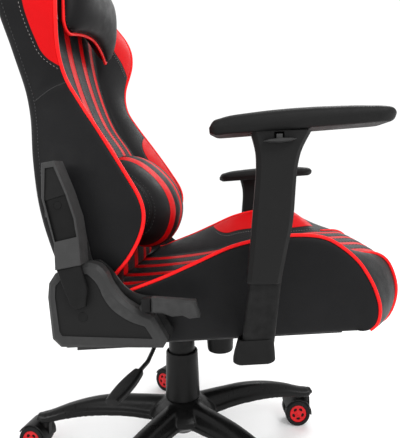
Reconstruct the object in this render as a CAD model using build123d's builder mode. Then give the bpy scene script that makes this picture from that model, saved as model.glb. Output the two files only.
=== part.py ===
from build123d import *
import math
import os

# Gaming chair. Millimetres, +Z up. The chair faces -Y and the sitter's right side is -X.
# The origin is on the floor, on the swivel axis.
# Profiles are written as (forward, height) pairs, where forward is the distance towards the
# chair's front, so Y = -forward.

os.makedirs("parts", exist_ok=True)

# --- driving dimensions ---------------------------------------------------------------------
RUN = 0.05                    # radial clearance of a shaft in its hole
GAP = 0.3                     # space between curved faces that pass each other

LEG_COUNT = 5
LEG_START = 29.0              # direction of the first leg, degrees from straight ahead
CASTER_RADIUS = 318.0         # swivel axis to caster stem
LEG_TIP = 336.0
LEG_ROOT_WIDTH = 54.0
LEG_TIP_WIDTH = 38.0
HUB_BOTTOM = 76.0
HUB_TOP = 138.0
HUB_RADIUS = 38.0

WHEEL_RADIUS = 29.0
WHEEL_WIDTH = 18.5
WHEEL_GAP = 13.2              # free width between the twin wheels
TRAIL = 22.0                  # caster stem to wheel axle
HOOD_INNER = WHEEL_RADIUS + 1.2
HOOD_OUTER = HOOD_INNER + 2.6
AXLE_RADIUS = 4.0
STEM_RADIUS = 5.5
LEG_TIP_BOTTOM = 64.5
TRAIL_DIRECTIONS = (96.0, 60.0, 82.0, 118.0, 75.0)

GAS_TUBE_RADIUS = 25.0
PISTON_RADIUS = 14.0
GAS_TUBE_TOP = 250.0
SLEEVE_BOTTOM = HUB_TOP
SLEEVE_TOP = 234.0
HOUSING_BOTTOM = 262.0
HOUSING_HALF = 56.0
TILT_PIVOT = (35.0, 314.0)
PIN_RADIUS = 6.0
KNOB_FORWARD = 82.0
KNOB_RADIUS = 28.0

SEAT_SLOPE = 0.0498           # the seat's underside rises this much per unit forward
SEAT_UNDER = 336.8            # height of the underside at the swivel axis
FRAME_DEPTH = 20.0
RAIL_X = 225.0
BOLSTER_INNER = 150.0
BOLSTER_OUTER = 258.0
CROSS_FORWARD = (-66.0, 106.0, 262.0)
PLATE_BOLT_X = 70.0

RECLINE_PIVOT = (-111.0, 396.0)
ROD_RADIUS = 6.0
PLATE_INNER = 260.0           # recliner plate, inner face
COVER_INNER = 268.5
COVER_OUTER = 292.0
BAR_INNER = 293.0
BAR_OUTER = 305.0
LEVER_PIVOT = (-18.0, 412.0)

POST_X = 330.0
POST_FORWARD = 149.0
POST_FOOT_TOP = 373.0
POST_LEAN = 8.0
ARM_TRAVEL = 76.0
POST_DEPTH = 44.0
POST_THICK = 22.0
POST_TUBE = 180.0
ARM_X = 315.0
PAD_WIDTH = 95.0

BACK_LAYER = 26.0             # depth behind the back cushions that holds the frame
SLOT_X = 88.0
SLOT_HEIGHT = 1104.0
SLOT_SIZE = (74.0, 30.0)


# --- small helpers --------------------------------------------------------------------------
def side(points):
    """(forward, height) pairs as points of a side-view sketch on Plane.YZ."""
    return [(-forward, height) for forward, height in points]


def underside(forward):
    """Height of the seat's underside at a distance forward of the swivel axis."""
    return SEAT_UNDER + SEAT_SLOPE * forward


def finish(part, label):
    """Label a finished piece and write it as its own file."""
    part.label = label
    export_step(part, f"parts/{label}.step")


def side_plane(x):
    return Plane.YZ.offset(x)


def span(sign, inner, outer):
    """Sketch offset and extrusion length for a slab between two distances from the centre."""
    return (sign * inner, sign * (outer - inner))


SIDES = (("right", -1), ("left", 1))


# --- base -----------------------------------------------------------------------------------
LEG_UPPER = [(0, 150), (40, 146), (111, 138), (160, 130), (205, 119), (270, 100), (322, 82)]
LEG_LOWER = [(308, LEG_TIP_BOTTOM), (262, 75), (205, 86), (133, 92), (66, 90), (0, 82)]

with BuildPart() as leg:
    with BuildSketch(Plane.XZ):
        with BuildLine():
            Spline(*LEG_UPPER)
            RadiusArc(LEG_UPPER[-1], (LEG_TIP, LEG_TIP_BOTTOM + 4), 16)
            Polyline((LEG_TIP, LEG_TIP_BOTTOM + 4), (LEG_TIP - 3, LEG_TIP_BOTTOM), LEG_LOWER[0])
            Spline(*LEG_LOWER)
            Line(LEG_LOWER[-1], LEG_UPPER[0])
        make_face()
    extrude(amount=LEG_ROOT_WIDTH / 2, both=True)
    with BuildSketch(Plane.XY.offset(HUB_BOTTOM - 20)):
        with BuildLine():
            Polyline((0, -LEG_ROOT_WIDTH / 2), (LEG_TIP - 12, -LEG_TIP_WIDTH / 2))
            RadiusArc((LEG_TIP - 12, -LEG_TIP_WIDTH / 2), (LEG_TIP - 12, LEG_TIP_WIDTH / 2), -22)
            Polyline((LEG_TIP - 12, LEG_TIP_WIDTH / 2), (0, LEG_ROOT_WIDTH / 2),
                     (0, -LEG_ROOT_WIDTH / 2))
        make_face()
    extrude(amount=110, mode=Mode.INTERSECT)

with BuildPart() as star_base:
    with BuildSketch(Plane.XY.offset(HUB_BOTTOM)):
        Circle(HUB_RADIUS + 6)
    extrude(amount=HUB_TOP - HUB_BOTTOM, taper=5)
    with PolarLocations(0, LEG_COUNT, start_angle=LEG_START - 90):
        add(leg.part)
    with Locations((0, 0, HUB_TOP + 12)):
        Cylinder(HUB_RADIUS + 30, 24, mode=Mode.SUBTRACT)
    with Locations((0, 0, HUB_BOTTOM - 20)):
        Cylinder(GAS_TUBE_RADIUS, 120, align=(Align.CENTER, Align.CENTER, Align.MIN),
                 mode=Mode.SUBTRACT)
    with PolarLocations(CASTER_RADIUS, LEG_COUNT, start_angle=LEG_START - 90):
        with Locations((0, 0, LEG_TIP_BOTTOM - 1)):
            Cylinder(STEM_RADIUS + RUN, 16.5, align=(Align.CENTER, Align.CENTER, Align.MIN),
                     mode=Mode.SUBTRACT)
finish(star_base.part, "star_base")

with BuildPart() as gas_lift_tube:
    with BuildSketch(Plane.XY.offset(HUB_BOTTOM - 8)):
        Circle(GAS_TUBE_RADIUS)
    extrude(amount=GAS_TUBE_TOP - HUB_BOTTOM + 8)
    with BuildSketch(Plane.XY.offset(HUB_BOTTOM + 8)):
        Circle(PISTON_RADIUS + RUN)
    extrude(amount=GAS_TUBE_TOP - HUB_BOTTOM, mode=Mode.SUBTRACT)
    chamfer(gas_lift_tube.faces().sort_by(Axis.Z)[0].edges(), 3)
finish(gas_lift_tube.part, "gas_lift_tube")

with BuildPart() as column_cover_lower:
    with BuildSketch(Plane.XZ):
        with BuildLine():
            Polyline((GAS_TUBE_RADIUS + 6, SLEEVE_BOTTOM), (36, SLEEVE_BOTTOM), (36, SLEEVE_BOTTOM + 4),
                     (33.5, SLEEVE_TOP - 2), (32.5, SLEEVE_TOP), (30.5, SLEEVE_TOP),
                     (GAS_TUBE_RADIUS + 6, SLEEVE_BOTTOM + 6), close=True)
        make_face()
    revolve(axis=Axis.Z)
finish(column_cover_lower.part, "column_cover_lower")


# --- casters --------------------------------------------------------------------------------
def caster_planes(index):
    """Planes of one caster: upright at the stem, and across the wheels at the axle."""
    leg_angle = math.radians(LEG_START - 90 + index * 360 / LEG_COUNT)
    trail = math.radians(TRAIL_DIRECTIONS[index])
    stem = (CASTER_RADIUS * math.cos(leg_angle), CASTER_RADIUS * math.sin(leg_angle), 0)
    centre = (stem[0] + TRAIL * math.cos(trail), stem[1] + TRAIL * math.sin(trail), WHEEL_RADIUS)
    across = (math.sin(trail), -math.cos(trail), 0)
    upright = Plane(origin=stem, z_dir=(0, 0, 1))
    wheel = Plane(origin=centre, x_dir=(math.cos(trail), math.sin(trail), 0), z_dir=across)
    return upright, wheel


def caster_hood(label, upright, wheel):
    """Central web, curved fender over both wheels and the collar that holds the stem."""
    web_half = WHEEL_GAP / 2 - 0.6
    with BuildPart() as hood:
        with BuildSketch(wheel):
            Circle(22)
            with BuildLine():
                Polyline((0, 0), (-TRAIL - 11, 6), (-TRAIL - 11, 30), (0, HOOD_OUTER - 1), close=True)
            make_face()
        extrude(amount=web_half, both=True)
        with BuildSketch(wheel):
            Circle(HOOD_OUTER)
            Circle(HOOD_INNER, mode=Mode.SUBTRACT)
            with BuildLine():
                Polyline((0, 0), (60, 34), (60, 80), (-60, 80), (-60, -8), close=True)
            make_face(mode=Mode.INTERSECT)
        extrude(amount=WHEEL_GAP / 2 + WHEEL_WIDTH - 1.5, both=True)
        with BuildSketch(upright.offset(50)):
            Circle(10)
        extrude(amount=12)
        for wheel_side in (-1, 1):
            with BuildSketch(wheel.offset(wheel_side * web_half)):
                Circle(HOOD_INNER)
            extrude(amount=wheel_side * 40, mode=Mode.SUBTRACT)
        with BuildSketch(wheel):
            Circle(AXLE_RADIUS + RUN)
        extrude(amount=20, both=True, mode=Mode.SUBTRACT)
        with BuildSketch(upright.offset(48)):
            Circle(STEM_RADIUS + RUN)
        extrude(amount=20, mode=Mode.SUBTRACT)
    finish(hood.part, label)


def caster_pins(label, upright, wheel):
    """The upright stem with its collar, and the axle."""
    with BuildPart() as pins:
        with BuildSketch(upright.offset(48)):
            Circle(STEM_RADIUS)
        extrude(amount=31)
        with BuildSketch(upright.offset(62)):
            Circle(STEM_RADIUS + 2.5)
        extrude(amount=1.5)
        with BuildSketch(wheel):
            Circle(AXLE_RADIUS)
        extrude(amount=WHEEL_GAP / 2 + WHEEL_WIDTH - 6, both=True)
    finish(pins.part, label)


def caster_wheels(label, wheel):
    """Twin wheels: rounded tread, blind axle bore and a shallow recess for the hub cap."""
    with BuildPart() as wheels:
        for wheel_side in (-1, 1):
            inner = wheel.offset(wheel_side * WHEEL_GAP / 2)
            with BuildSketch(inner):
                Circle(WHEEL_RADIUS)
            extrude(amount=wheel_side * WHEEL_WIDTH)
            with BuildSketch(inner.offset(wheel_side * (WHEEL_WIDTH - 3))):
                Circle(20.5)
            extrude(amount=wheel_side * 4, mode=Mode.SUBTRACT)
            with BuildSketch(inner):
                Circle(AXLE_RADIUS + RUN)
            extrude(amount=wheel_side * (WHEEL_WIDTH - 6), mode=Mode.SUBTRACT)
        rims = wheels.edges().filter_by(GeomType.CIRCLE).filter_by(lambda e: e.radius > WHEEL_RADIUS - 0.1)
        fillet(rims, 3)
    finish(wheels.part, label)


def caster_hubcaps(label, wheel):
    """Two round caps with five openings each, in the recesses of the wheels."""
    with BuildPart() as caps:
        for wheel_side in (-1, 1):
            face = wheel.offset(wheel_side * (WHEEL_GAP / 2 + WHEEL_WIDTH - 3))
            with BuildSketch(face):
                Circle(20)
                with PolarLocations(12, LEG_COUNT, start_angle=90):
                    Ellipse(3, 3.8, mode=Mode.SUBTRACT)
            extrude(amount=wheel_side * 2.6)
    finish(caps.part, label)


for number in range(LEG_COUNT):
    upright_plane, wheel_plane = caster_planes(number)
    caster_hood(f"caster_{number + 1}_hood", upright_plane, wheel_plane)
    caster_pins(f"caster_{number + 1}_pins", upright_plane, wheel_plane)
    caster_wheels(f"caster_{number + 1}_wheels", wheel_plane)
    caster_hubcaps(f"caster_{number + 1}_hubcaps", wheel_plane)


# --- gas lift and tilt mechanism ------------------------------------------------------------
with BuildPart() as gas_lift_piston:
    with BuildSketch(Plane.XY.offset(110)):
        Circle(PISTON_RADIUS)
    extrude(amount=HOUSING_BOTTOM + 36 - 110)
    chamfer(gas_lift_piston.edges().filter_by(GeomType.CIRCLE), 1.5)
finish(gas_lift_piston.part, "gas_lift_piston")

with BuildPart() as column_cover_upper:
    with BuildSketch(Plane.XY.offset(152)):
        Circle(27.4)
        Circle(GAS_TUBE_RADIUS + 0.6, mode=Mode.SUBTRACT)
    extrude(amount=HOUSING_BOTTOM - 1.5 - 152)
    with BuildSketch(Plane.XY.offset(HOUSING_BOTTOM - 4.5)):
        Circle(27.4)
        Circle(PISTON_RADIUS + RUN, mode=Mode.SUBTRACT)
    extrude(amount=3)
finish(column_cover_upper.part, "column_cover_upper")

HOUSING_PROFILE = [(-62, 298), (-62, 276), (-50, HOUSING_BOTTOM), (108, HOUSING_BOTTOM), (116, 272),
                   (116, 322), (104, 328), (40, 328), (0, 314)]
with BuildPart() as tilt_housing:
    with BuildSketch(side_plane(-HOUSING_HALF)):
        with BuildLine():
            Polyline(*side(HOUSING_PROFILE), close=True)
        make_face()
    extrude(amount=2 * HOUSING_HALF)
    fillet(tilt_housing.edges().filter_by(Axis.X).sort_by(Axis.Z)[:2], 6)
    with BuildSketch(Plane.XY.offset(HOUSING_BOTTOM + 5)):
        with Locations((0, -KNOB_FORWARD + 2)):
            RectangleRounded(2 * HOUSING_HALF - 8, 56, 6)
        with Locations((0, 42)):
            RectangleRounded(2 * HOUSING_HALF - 8, 30, 5)
    extrude(amount=80, mode=Mode.SUBTRACT)
    with BuildSketch(Plane.XY.offset(HOUSING_BOTTOM - 1)):
        Circle(PISTON_RADIUS + RUN)
    extrude(amount=38, mode=Mode.SUBTRACT)
    with BuildSketch(side_plane(-HOUSING_HALF - 5)):
        with Locations(side([TILT_PIVOT])[0]):
            Circle(PIN_RADIUS + RUN)
    extrude(amount=2 * HOUSING_HALF + 10, mode=Mode.SUBTRACT)
    with BuildSketch(Plane.XY.offset(HOUSING_BOTTOM - 1)):
        with Locations((0, -KNOB_FORWARD)):
            Circle(5 + RUN)
    extrude(amount=8, mode=Mode.SUBTRACT)
    with BuildSketch(side_plane(-HOUSING_HALF - 1)):
        with Locations(side([(-42, 274)])[0]):
            Circle(6)
    extrude(amount=12, mode=Mode.SUBTRACT)
finish(tilt_housing.part, "tilt_housing")

with BuildPart() as tilt_pivot_pin:
    with BuildSketch(side_plane(-66)):
        with Locations(side([TILT_PIVOT])[0]):
            Circle(PIN_RADIUS)
    extrude(amount=132)
    chamfer(tilt_pivot_pin.edges().filter_by(GeomType.CIRCLE), 1)
finish(tilt_pivot_pin.part, "tilt_pivot_pin")

SPRING_PITCH = 9.0
SPRING_HEIGHT = 36.0
with BuildPart() as tilt_spring:
    with BuildLine(Plane((0, -KNOB_FORWARD, HOUSING_BOTTOM + 9))) as spring_path:
        Helix(SPRING_PITCH, SPRING_HEIGHT, 16)
    with BuildSketch(Plane(origin=spring_path.line @ 0, z_dir=spring_path.line % 0)):
        Circle(2.8)
    sweep(is_frenet=True)
finish(tilt_spring.part, "tilt_spring")

with BuildPart() as tension_knob:
    with BuildSketch(Plane.XY.offset(223)):
        with Locations((0, -KNOB_FORWARD)):
            Circle(KNOB_RADIUS - 2)
            with PolarLocations(KNOB_RADIUS - 1, 12):
                Circle(2.5)
    extrude(amount=38, taper=-1)
    with BuildSketch(Plane.XY.offset(261)):
        with Locations((0, -KNOB_FORWARD)):
            Circle(5)
    extrude(amount=52)
finish(tension_knob.part, "tension_knob")

LEVER_START = (-48.5, 42, 274)
LEVER_BEND = (-150, 43, 271)
GRIP_END = (-268, 72, 262)
with BuildPart() as gas_lever_rod:
    with BuildLine() as lever_path:
        FilletPolyline(LEVER_START, LEVER_BEND, GRIP_END, radius=25)
    with BuildSketch(Plane(origin=lever_path.line @ 0, z_dir=lever_path.line % 0)):
        Circle(4)
    sweep()
finish(gas_lever_rod.part, "gas_lever_rod")

grip_direction = (Vector(*GRIP_END) - Vector(*LEVER_BEND)).normalized()
grip_plane = Plane(origin=Vector(*GRIP_END) - grip_direction * 84, x_dir=(0, 0, 1), z_dir=grip_direction)
with BuildPart() as gas_lever_grip:
    with BuildSketch(grip_plane):
        RectangleRounded(13, 18, 5)
    with BuildSketch(grip_plane.offset(45)):
        RectangleRounded(12, 28, 5)
    with BuildSketch(grip_plane.offset(92)):
        RectangleRounded(10, 22, 4.5)
    loft()
    with BuildSketch(grip_plane.offset(-1)):
        Circle(4)
    extrude(amount=85.1, mode=Mode.SUBTRACT)
finish(gas_lever_grip.part, "gas_lever_grip")


# --- seat -----------------------------------------------------------------------------------
def slope_bar(rear, front, low, high):
    """Four corners of a bar that follows the underside, between two distances above it."""
    return [(rear, underside(rear) + low), (front, underside(front) + low),
            (front, underside(front) + high), (rear, underside(rear) + high)]


def upright_rods(points, radius, bottom, height):
    """Vertical round bars at (x, forward) points, to cut bolt holes with."""
    with BuildPart() as rods:
        with BuildSketch(Plane.XY.offset(bottom)):
            with Locations(*[(x, -forward) for x, forward in points]):
                Circle(radius)
        extrude(amount=height)
    return rods.part


PLATE_BOLTS = [(sign * PLATE_BOLT_X, forward) for sign in (-1, 1) for forward in CROSS_FORWARD[:2]]
ARM_BOLTS = [(sign * x, POST_FORWARD) for sign in (-1, 1) for x in (RAIL_X - 42, RAIL_X)]
BOLT_RADIUS = 4.0
plate_bolt_bars = upright_rods(PLATE_BOLTS, BOLT_RADIUS, 300, 100)
arm_bolt_bars = upright_rods(ARM_BOLTS, BOLT_RADIUS, 300, 100)

with BuildPart() as seat_frame:
    for sign in (-1, 1):
        with BuildSketch(side_plane(sign * RAIL_X - 10)):
            with BuildLine():
                Polyline(*side(slope_bar(-158, 286, 0, FRAME_DEPTH)), close=True)
            make_face()
        extrude(amount=20)
    for forward in CROSS_FORWARD + (POST_FORWARD,):
        with BuildSketch(side_plane(-RAIL_X)):
            with BuildLine():
                Polyline(*side(slope_bar(forward - 12, forward + 12, 0, FRAME_DEPTH)), close=True)
            make_face()
        extrude(amount=2 * RAIL_X)
    add(plate_bolt_bars, mode=Mode.SUBTRACT)
    add(arm_bolt_bars, mode=Mode.SUBTRACT)
finish(seat_frame.part, "seat_frame")

EAR_PROFILE = [(10, underside(10) - 1), (20, 302), (35, 298), (50, 302), (60, underside(60) - 1)]
with BuildPart() as seat_plate:
    with BuildSketch(side_plane(-90)):
        with BuildLine():
            Polyline(*side(slope_bar(-82, 122, -3.5, 0)), close=True)
        make_face()
    extrude(amount=180)
    for sign in (-1, 1):
        ear_offset, ear_length = span(sign, HOUSING_HALF + 2, HOUSING_HALF + 6)
        with BuildSketch(side_plane(ear_offset)):
            with BuildLine():
                Polyline(*side(EAR_PROFILE), close=True)
            make_face()
        extrude(amount=ear_length)
    with BuildSketch(side_plane(-90)):
        with Locations(side([TILT_PIVOT])[0]):
            Circle(PIN_RADIUS + RUN)
    extrude(amount=180, mode=Mode.SUBTRACT)
    add(plate_bolt_bars, mode=Mode.SUBTRACT)
finish(seat_plate.part, "seat_plate")

with BuildPart() as seat_bolts:
    for points, drop in ((PLATE_BOLTS, 3.5), (ARM_BOLTS, 5)):
        for x, forward in points:
            top = underside(forward) - drop
            with Locations((x, -forward, top - 0.6)):
                Cylinder(7, 4.5, align=(Align.CENTER, Align.CENTER, Align.MAX))
                Cylinder(BOLT_RADIUS, 22, align=(Align.CENTER, Align.CENTER, Align.MIN))
finish(seat_bolts.part, "seat_bolts")

CUSHION_LIFT = FRAME_DEPTH + 1
CENTRE_TOP = [(-100, 402), (-40, 405), (40, 413), (120, 428), (200, 444), (280, 457), (372, 460)]
NOSE = [(397, 424), (399, 388), (385, 352), (360, 333)]
with BuildPart() as seat_cushion:
    with BuildSketch(side_plane(-BOLSTER_INNER + 2)):
        with BuildLine():
            Spline(*side(CENTRE_TOP))
            Spline(*side([CENTRE_TOP[-1]] + NOSE))
            Polyline(*side([NOSE[-1], (306, 345), (292, underside(292) + CUSHION_LIFT),
                            (-100, underside(-100) + CUSHION_LIFT), CENTRE_TOP[0]]))
        make_face()
    extrude(amount=2 * BOLSTER_INNER - 4)
finish(seat_cushion.part, "seat_cushion")

BOLSTER_TOP = [(-100, 410), (-51, 424), (2, 443), (67, 475), (124, 500), (190, 511), (250, 507),
               (302, 475), (333, 426), (340, 390), (321, 359)]
for name, sign in SIDES:
    with BuildPart() as seat_bolster:
        bolster_offset, bolster_length = span(sign, BOLSTER_INNER, BOLSTER_OUTER)
        with BuildSketch(side_plane(bolster_offset)):
            with BuildLine():
                Spline(*side(BOLSTER_TOP))
                Polyline(*side([BOLSTER_TOP[-1], (304, 350), (292, underside(292) + CUSHION_LIFT),
                                (-100, underside(-100) + CUSHION_LIFT), BOLSTER_TOP[0]]))
            make_face()
        extrude(amount=bolster_length)
        rim = seat_bolster.faces().sort_by(Axis.X)[0 if sign < 0 else -1]
        chamfer(rim.edges().sort_by(Axis.Z)[-1:], 8)
    finish(seat_bolster.part, f"seat_bolster_{name}")


# --- arm posts, sleeves, pads and height paddles --------------------------------------------
LEAN = math.radians(POST_LEAN)


def post_plane(sign, height):
    """Plane across the leaning arm post where its axis reaches a height."""
    forward = POST_FORWARD + (height - POST_FOOT_TOP) * math.tan(LEAN)
    return Plane(origin=(sign * POST_X, -forward, height), x_dir=(1, 0, 0),
                 z_dir=(0, -math.sin(LEAN), math.cos(LEAN)))


def pad_under(forward):
    """Height of the underside of the raised pad."""
    return 659.5 + (forward - 97) * 0.053


SLEEVE_LOW = 453.0
SLEEVE_STEPS = ((SLEEVE_LOW, 50, 0, 29), (575, 55, 0, 30), (632, 64, 2, 33), (668, 86, 10, 40))
PAD_OUTLINE = [(88, 670), (91, 678), (104, 684), (150, 690), (200, 694), (252, 695), (326, 693),
               (337, 688), (339, 680), (330, pad_under(330)), (100, pad_under(100))]
PADDLE_FORWARD = 183.0
PADDLE_HEIGHT = 648.0

for name, sign in SIDES:
    drop_along = 0 if sign < 0 else ARM_TRAVEL
    drop = (0, drop_along * math.sin(LEAN), -drop_along * math.cos(LEAN))
    with BuildPart() as arm_post:
        with BuildSketch(post_plane(sign, POST_FOOT_TOP - 2)):
            RectangleRounded(POST_THICK, POST_DEPTH, 9)
        extrude(amount=POST_TUBE)
        with BuildSketch(Plane.XY.offset(336)):
            with Locations((sign * (POST_X - 1), -142)):
                RectangleRounded(34, 58, 12)
        extrude(amount=POST_FOOT_TOP - 336, taper=2)
        foot_offset, foot_length = span(sign, 150, POST_X)
        with BuildSketch(side_plane(foot_offset)):
            with BuildLine():
                Polyline(*side(slope_bar(122, 172, -5, -0.3)), close=True)
            make_face()
        extrude(amount=foot_length)
        add(arm_bolt_bars, mode=Mode.SUBTRACT)
    finish(arm_post.part, f"arm_post_{name}")

    with BuildPart() as raised_sleeve:
        for height, depth, forward_shift, thick in SLEEVE_STEPS:
            with BuildSketch(post_plane(sign, height)):
                with Locations((0, -forward_shift)):
                    RectangleRounded(thick, depth, 10)
        loft(ruled=True)
        with BuildSketch(side_plane(sign * POST_X - 40)):
            with BuildLine():
                Polyline(*side([(60, pad_under(60) - 0.2), (300, pad_under(300) - 0.2), (300, 760),
                                (60, 760)]), close=True)
            make_face()
        extrude(amount=80, mode=Mode.SUBTRACT)
        with BuildSketch(post_plane(sign, SLEEVE_LOW - 2)):
            RectangleRounded(POST_THICK + 2 * GAP, POST_DEPTH + 2 * GAP, 9 + GAP)
        extrude(amount=POST_TUBE + 4, mode=Mode.SUBTRACT)
        with Locations((sign * (POST_X + 16), -PADDLE_FORWARD, PADDLE_HEIGHT)):
            Box(14, 34, 13, mode=Mode.SUBTRACT)
    with BuildPart() as arm_sleeve:
        add(raised_sleeve.part.moved(Location(drop)))
    finish(arm_sleeve.part, f"arm_sleeve_{name}")

    with BuildPart() as raised_pad:
        with BuildSketch(side_plane(sign * ARM_X - PAD_WIDTH / 2)):
            with BuildLine():
                Polyline(*side(PAD_OUTLINE), close=True)
            make_face()
        extrude(amount=PAD_WIDTH)
        fillet(raised_pad.edges().group_by(SortBy.LENGTH)[-1], 1)
    with BuildPart() as arm_pad:
        add(raised_pad.part.moved(Location(drop)))
    finish(arm_pad.part, f"arm_pad_{name}")

    with BuildPart() as raised_paddle:
        with Locations((sign * (POST_X + 18), -PADDLE_FORWARD, PADDLE_HEIGHT - 2)):
            Box(16, 30, 5)
        with Locations((sign * (POST_X + 29), -PADDLE_FORWARD, PADDLE_HEIGHT - 2)):
            Box(8, 42, 8)
        outer_face = raised_paddle.faces().sort_by(Axis.X)[0 if sign < 0 else -1]
        fillet(outer_face.edges(), 2)
    with BuildPart() as arm_paddle:
        add(raised_paddle.part.moved(Location(drop)))
    finish(arm_paddle.part, f"arm_paddle_{name}")


# --- recliners ------------------------------------------------------------------------------
COVER_REAR = [(-97, 479), (-125, 474), (-148, 466), (-160, 441), (-160, 420), (-152, 369), (-140, 357),
              (12, 353), (18, 366), (-2, 400)]
COVER_CURVE = [(-2, 400), (-21, 404), (-38, 412), (-53, 430), (-66, 455), (-79, 472), (-97, 479)]
COVER_FACE = [(-88, 460), (-118, 462), (-143, 450), (-148, 430), (-148, 420), (-141, 374), (-135, 368),
              (-8, 364), (-16, 384)]
COVER_FACE_CURVE = [(-16, 384), (-50, 398), (-72, 425), (-88, 460)]
PLATE_CURVE = [(-12, 420), (-30, 423), (-46, 430), (-63, 448), (-76, 465), (-92, 477)]
ARM_OUTLINE = [(-134, 384), (-124, 373), (-98, 373), (-88, 384), (-88, 410), (-112, 520), (-134, 590),
               (-150, 618), (-166, 612), (-170, 570), (-170, 544), (-156, 500), (-154, 466), (-134, 420)]
BLOCK_OUTLINE = [(-157, 484), (-109, 498), (-112, 520), (-119, 546), (-130, 588), (-148, 633),
                 (-176, 626), (-175, 588), (-171, 544), (-158, 507)]
TONGUE_OUTLINE = [(-157, 484), (-158, 464), (-147, 461), (-142, 448), (-132, 424), (-122, 412),
                  (-111, 410), (-105, 416), (-105, 438), (-113, 475), (-107, 480), (-109, 498)]

for name, sign in SIDES:
    plate_offset, plate_length = span(sign, PLATE_INNER, PLATE_INNER + 3)
    flange_offset, flange_length = span(sign, RAIL_X + 10, PLATE_INNER)
    with BuildPart() as recliner:
        with BuildSketch(side_plane(plate_offset)):
            with BuildLine():
                Spline(*side(PLATE_CURVE))
                Polyline(*side([PLATE_CURVE[-1], (-140, 474), (-146, 372), (-138, 360), (6, 358),
                                (8, 400), PLATE_CURVE[0]]))
            make_face()
        extrude(amount=plate_length)
        with BuildSketch(side_plane(flange_offset)):
            with BuildLine():
                Polyline(*side(slope_bar(-130, 0, 6, 10)), close=True)
            make_face()
        extrude(amount=flange_length)
        with BuildSketch(side_plane(sign * PLATE_INNER)):
            with BuildLine():
                Polyline(*side([(-130, underside(-130) + 6), (0, underside(0) + 6), (0, 362), (-130, 362)]),
                         close=True)
            make_face()
        extrude(amount=plate_length)
        with BuildSketch(side_plane(plate_offset)):
            with Locations(side([RECLINE_PIVOT])[0]):
                Circle(ROD_RADIUS + RUN)
        extrude(amount=plate_length, mode=Mode.SUBTRACT)
        if name == "right":
            with BuildSketch(side_plane(plate_offset)):
                with Locations(side([LEVER_PIVOT])[0]):
                    Circle(5)
            extrude(amount=sign * (COVER_OUTER + 6 - PLATE_INNER))
    finish(recliner.part, f"recliner_{name}")

    cover_offset, cover_length = span(sign, COVER_INNER, COVER_OUTER)
    face_offset, face_depth = span(sign, COVER_OUTER, COVER_OUTER - 2)
    with BuildPart() as recliner_cover:
        with BuildSketch(side_plane(cover_offset)):
            with BuildLine():
                Polyline(*side(COVER_REAR))
                Spline(*side(COVER_CURVE))
            make_face()
        extrude(amount=cover_length)
        with BuildSketch(side_plane(face_offset)):
            with BuildLine():
                Polyline(*side(COVER_FACE))
                Spline(*side(COVER_FACE_CURVE))
            make_face()
        extrude(amount=face_depth, mode=Mode.SUBTRACT)
        with BuildSketch(side_plane(cover_offset)):
            with Locations(side([RECLINE_PIVOT])[0]):
                Circle(ROD_RADIUS + 4)
        extrude(amount=sign * 12, mode=Mode.SUBTRACT)
    finish(recliner_cover.part, f"recliner_cover_{name}")

    block_offset, block_length = span(sign, COVER_INNER, BAR_OUTER)
    tongue_offset, tongue_length = span(sign, BAR_INNER, BAR_OUTER - 4)
    with BuildPart() as back_bar:
        with BuildSketch(side_plane(block_offset)):
            with BuildLine():
                Polyline(*side(BLOCK_OUTLINE), close=True)
            make_face()
        extrude(amount=block_length)
        chamfer(back_bar.faces().sort_by(Axis.X)[0 if sign < 0 else -1].edges(), 7)
        with BuildSketch(side_plane(tongue_offset)):
            with BuildLine():
                Polyline(*side(TONGUE_OUTLINE), close=True)
            make_face()
        extrude(amount=tongue_length)
    finish(back_bar.part, f"back_bar_{name}")

with BuildPart() as recline_rod:
    with BuildSketch(side_plane(-COVER_INNER - 8)):
        with Locations(side([RECLINE_PIVOT])[0]):
            Circle(ROD_RADIUS)
    extrude(amount=2 * (COVER_INNER + 8))
    chamfer(recline_rod.edges().filter_by(GeomType.CIRCLE), 1)
finish(recline_rod.part, "recline_rod")

HANDLE_OUTLINE = [(-28, 404), (-24, 423), (-6, 428), (59, 424), (66, 398), (52, 395), (38, 395),
                  (22, 401), (-4, 402), (-18, 400)]
with BuildPart() as recline_lever:
    with BuildSketch(side_plane(-COVER_OUTER - 2)):
        with BuildLine():
            Polyline(*side(HANDLE_OUTLINE), close=True)
        make_face()
    extrude(amount=-16)
    chamfer(recline_lever.faces().sort_by(Axis.X)[0].edges(), 3)
    with BuildSketch(side_plane(-COVER_OUTER - 20)):
        with Locations(side([LEVER_PIVOT])[0]):
            Circle(5 + RUN)
    extrude(amount=20, mode=Mode.SUBTRACT)
finish(recline_lever.part, "recline_lever")


# --- backrest -------------------------------------------------------------------------------
REAR = [(-160, 430), (-197, 562), (-211, 637), (-223, 712), (-247, 805), (-262, 900), (-274, 1000),
        (-287, 1100), (-300, 1200), (-304, 1250)]
CENTRE_FRONT = [(-246, 1250), (-242, 1190), (-232, 1080), (-226, 980), (-219, 895), (-203, 815),
                (-168, 720), (-124, 650), (-100, 560), (-88, 500), (-84, 440)]
WING_FRONT = [(-236, 1080), (-215, 1035), (-195, 1006), (-166, 973), (-151, 943), (-147, 905),
              (-152, 869), (-164, 830), (-168, 800), (-159, 768), (-138, 735), (-95, 672), (-50, 609),
              (-26, 568), (-20, 544), (-26, 515), (-51, 474), (-72, 450)]


def shifted(points, forward):
    return [(point[0] + forward, point[1]) for point in points]


def rail_profile(points, near, far):
    """Closed outline between two distances in front of a rear line."""
    return shifted(points, near) + shifted(points, far)[::-1]


def spacer_outline(gap):
    """Section of the bar that holds a side arm away from its upright."""
    rear, front, low, high = -177 - gap, -152 + gap, 545 - gap, 566 + gap
    return [(rear, low), (front, low), (front, high), (rear, high)]


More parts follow.
